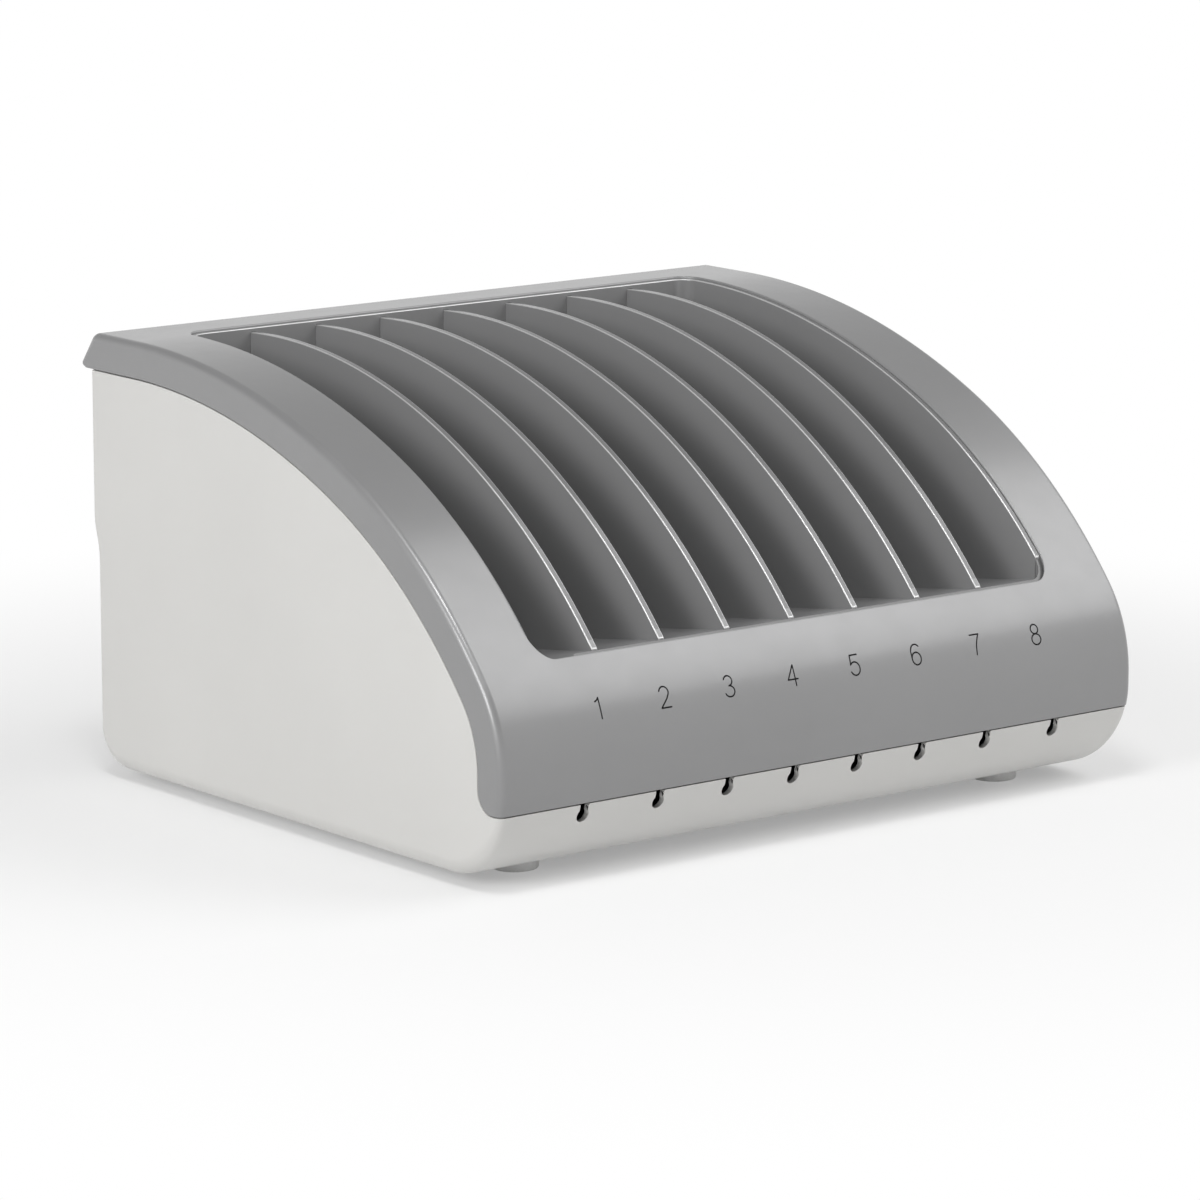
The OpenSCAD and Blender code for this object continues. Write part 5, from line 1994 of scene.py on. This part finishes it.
@dataclass
class Screws:
    """Pan head screws with a cross recess, in three sets.

    Attributes:
        shop: what the sub-assemblies share.
        radius: radius of the thread.
    """

    shop: Workshop
    radius: float = 1.5

    def screw(self, name: str, head: float, length: float) -> Piece:
        """Makes one screw, head down, with its shoulder at zero.

        Args:
            name: its name.
            head: radius of its head.
            length: length of its shank.

        Returns:
            The screw.
        """
        r = self.radius
        dome = [
            (0.0, -2.0), (head * 0.35, -1.95), (head * 0.65, -1.75), (head * 0.88, -1.3),
            (head, -0.7), (head, -0.1), (head - 0.1, 0.0),
        ]
        thread: list[Point] = [(r, 0.0), (r, 0.6)]
        z = 0.8
        while z < length - 1.6:
            thread += [(r - 0.25, z), (r, z + 0.3), (r, z + 0.4)]
            z += 0.7
        made = turned(name, [*dome, *thread, (r - 0.25, length - 1.2), (r - 0.8, length), (0.0, length)], 28)
        arms = [block("recess_arm", (-a, -b, -3.0), (a, b, -1.0)) for a, b in ((0.4, head * 0.5), (head * 0.5, 0.4))]
        return carve(made, Carve.CUT, *arms)

    def set(
        self, name: str, head: float, length: float, places: Triple, low: float, rise: float, turn: float,
        body: Body, node: str,
    ) -> None:
        """Makes one set of four screws.

        Args:
            name: the set's name.
            head: radius of the heads.
            length: length of the shanks.
            places: X and the two depths.
            low: height of the front two shoulders.
            rise: how much higher the rear two are.
            turn: how far they are turned about X.
            body: the body that they ride on.
            node: the CAD node that they replace.
        """
        screw = self.screw(name, head, length)
        self.shop.placed.run(screw, places, low, rise, turn, self.shop.wardrobe.of(Finish.BRIGHT_STEEL))
        soften(screw, 35.0)
        self.shop.hand_over(screw, Finish.BRIGHT_STEEL, body, node)

    def build(self) -> None:
        """Makes the screws of the feet, the charger and the tray."""
        house = self.shop.housing
        low, high = (house.height_at(y, house.wall) - 11.5 for y in house.tray_screws[1:])
        for name, *values in (
            ("feet", 3.0, 10.0, house.feet, 2.4, 0.0, 0.0, Body.BASE, "foot_screws"),
            ("charger", 2.8, 5.0, house.charger_screws, 13.0, 0.0, math.pi, Body.BASE, "charger_screws"),
            ("tray", 2.8, 9.5, house.tray_screws, low, high - low, 0.0, Body.COVER, "tray_screws"),
        ):
            self.set(f"pan_screws_of_{name}", *values)


@dataclass
class Charger:
    """The charger's eight outlets, and its case and inner parts with rounded edges.

    Attributes:
        shop: what the sub-assemblies share.
        pitch: distance between the outlets.
        size: width, depth and height of an outlet's shell.
        sheet: thickness of the shell.
        front: depth of the outlets' mouths.
        base: height of their undersides.
    """

    shop: Workshop
    pitch: float = 25.984
    size: Triple = (13.1, 14.0, 5.7)
    sheet: float = 0.5
    front: float = 50.7
    base: float = 17.6

    def outlets(self) -> None:
        """Makes the folded steel shells and the tongues in them."""
        width, depth, height = self.size
        half, y, z, wall = width / 2, self.front, self.base, self.sheet
        top = z + height
        shell = prism("socket_shells", rounded_plan((-half, z), (half, top), 0.8, 6), y, y + depth, "y")
        plan = rounded_plan((-half + wall, z + wall), (half - wall, top - wall), 0.4, 5)
        pocket = prism("pocket", plan, y - 1, y + depth - 3, "y")
        slots = [
            block("spring_slot", (x - 0.9, y + 2.5, top - 1.0), (x + 0.9, y + 7.5, top + 1.0)) for x in (-3.2, 3.2)
        ]
        carve(shell, Carve.CUT, pocket, *slots)
        self.shop.row.run(shell, 8, self.pitch, finish=self.shop.wardrobe.of(Finish.SOCKET_STEEL))
        soften(shell, 35.0)
        self.shop.hand_over(shell, Finish.SOCKET_STEEL, Body.BASE, *(f"usb_socket_{k}" for k in range(1, 9)))
        tongue = round_all(block("socket_tongues", (-5.1, y + 2, z + 2.7), (5.1, y + depth - 2.95, z + 4.3)), 0.25)
        self.shop.row.run(tongue, 8, self.pitch, finish=self.shop.wardrobe.of(Finish.DARK_PLASTIC))
        soften(tongue)
        self.shop.hand_over(tongue, Finish.DARK_PLASTIC, Body.BASE)

    def build(self) -> None:
        """Makes the outlets and the softened case and parts."""
        self.outlets()
        soft = self.shop.softened_copy
        soft("charger_base", "charger_case_lower", Finish.DARK_PLASTIC, Body.BASE, 0.4)
        soft("charger_lid", "charger_case_upper", Finish.DARK_PLASTIC, Body.BASE, 0.5, 3)
        soft("circuit_board", "charger_board", Finish.BOARD, Body.BASE, 0.2)
        soft("transformer", "transformer_block", Finish.TRANSFORMER_CORE, Body.BASE, 0.5)
        soft("filter_capacitors", "capacitor_cans", Finish.CAPACITOR_CAN, Body.BASE, 0.5)
        soft("heat_sink", "cooling_fins", Finish.BARE_ALUMINIUM, Body.BASE, 0.2)


@dataclass
class MainsEntry:
    """The mains inlet and the rocker switch in the rear wall, with rounded edges.

    Attributes:
        shop: what the sub-assemblies share.
    """

    shop: Workshop

    def build(self) -> None:
        """Makes the inlet and the switch."""
        soft = self.shop.softened_copy
        soft("inlet_housing", "inlet_body", Finish.DARK_PLASTIC, Body.BASE, 0.4, 3)
        soft("inlet_blades", "inlet_pins", Finish.BLADE_BRASS, Body.BASE, 0.3)
        soft("switch_body", "switch_bezel", Finish.DARK_PLASTIC, Body.BASE, 0.3)
        soft("switch_blades", "switch_tails", Finish.BLADE_BRASS, Body.BASE, 0.15)
        soft("switch_rocker", "switch_key", Finish.DARK_PLASTIC, Body.ROCKER, 0.25)


# ---------------------------------------------------------------- the rack


@dataclass
class Rack:
    """The whole rack, in the order in which it is dressed.

    Attributes:
        shop: what the sub-assemblies share.
        finishes: the finish of each CAD node, by the start of its name.
    """

    shop: Workshop = field(default_factory=Workshop)
    finishes: dict[str, Finish] = field(
        default_factory=lambda: {
            "base_shell": Finish.WHITE_SHELL,
            "cover_frame": Finish.GREY_COVER,
            "rack_tray": Finish.GREY_TRAY,
            "divider_": Finish.GREY_TRAY,
            "tray_screws": Finish.BRIGHT_STEEL,
            "hinge_pin_": Finish.BRIGHT_STEEL,
            "foot_screws": Finish.BRIGHT_STEEL,
            "foot_": Finish.FOOT_RUBBER,
            "charger_screws": Finish.BRIGHT_STEEL,
            "charger_": Finish.DARK_PLASTIC,
            "circuit_board": Finish.BOARD,
            "transformer": Finish.TRANSFORMER_CORE,
            "filter_capacitors": Finish.CAPACITOR_CAN,
            "heat_sink": Finish.BARE_ALUMINIUM,
            "usb_socket_": Finish.SOCKET_STEEL,
            "inlet_housing": Finish.DARK_PLASTIC,
            "inlet_blades": Finish.BLADE_BRASS,
            "switch_blades": Finish.BLADE_BRASS,
            "switch_": Finish.DARK_PLASTIC,
        }
    )

    def dress_nodes(self) -> None:
        """Gives every CAD node its finish."""
        for name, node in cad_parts.items():
            finish = next(f for start, f in self.finishes.items() if name.startswith(start))
            self.shop.wardrobe.dress(node, finish)

    def build(self) -> None:
        """Dresses the CAD nodes and builds every sub-assembly."""
        self.dress_nodes()
        for part in (BaseShell, Cover, Tray, Feet, Screws, Charger, MainsEntry):
            part(self.shop).build()
        for side in ("left", "right"):
            self.shop.softened_copy(f"hinge_pin_{side}", f"round_pin_{side}", Finish.BRIGHT_STEEL, Body.BASE, 0.3)


def main() -> None:
    """Builds the rack and its studio in order."""
    logging.basicConfig(level=logging.INFO, format="%(name)s: %(message)s")
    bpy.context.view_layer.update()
    Rack().build()
    Studio().build()


if __name__ == "__main__":
    main()
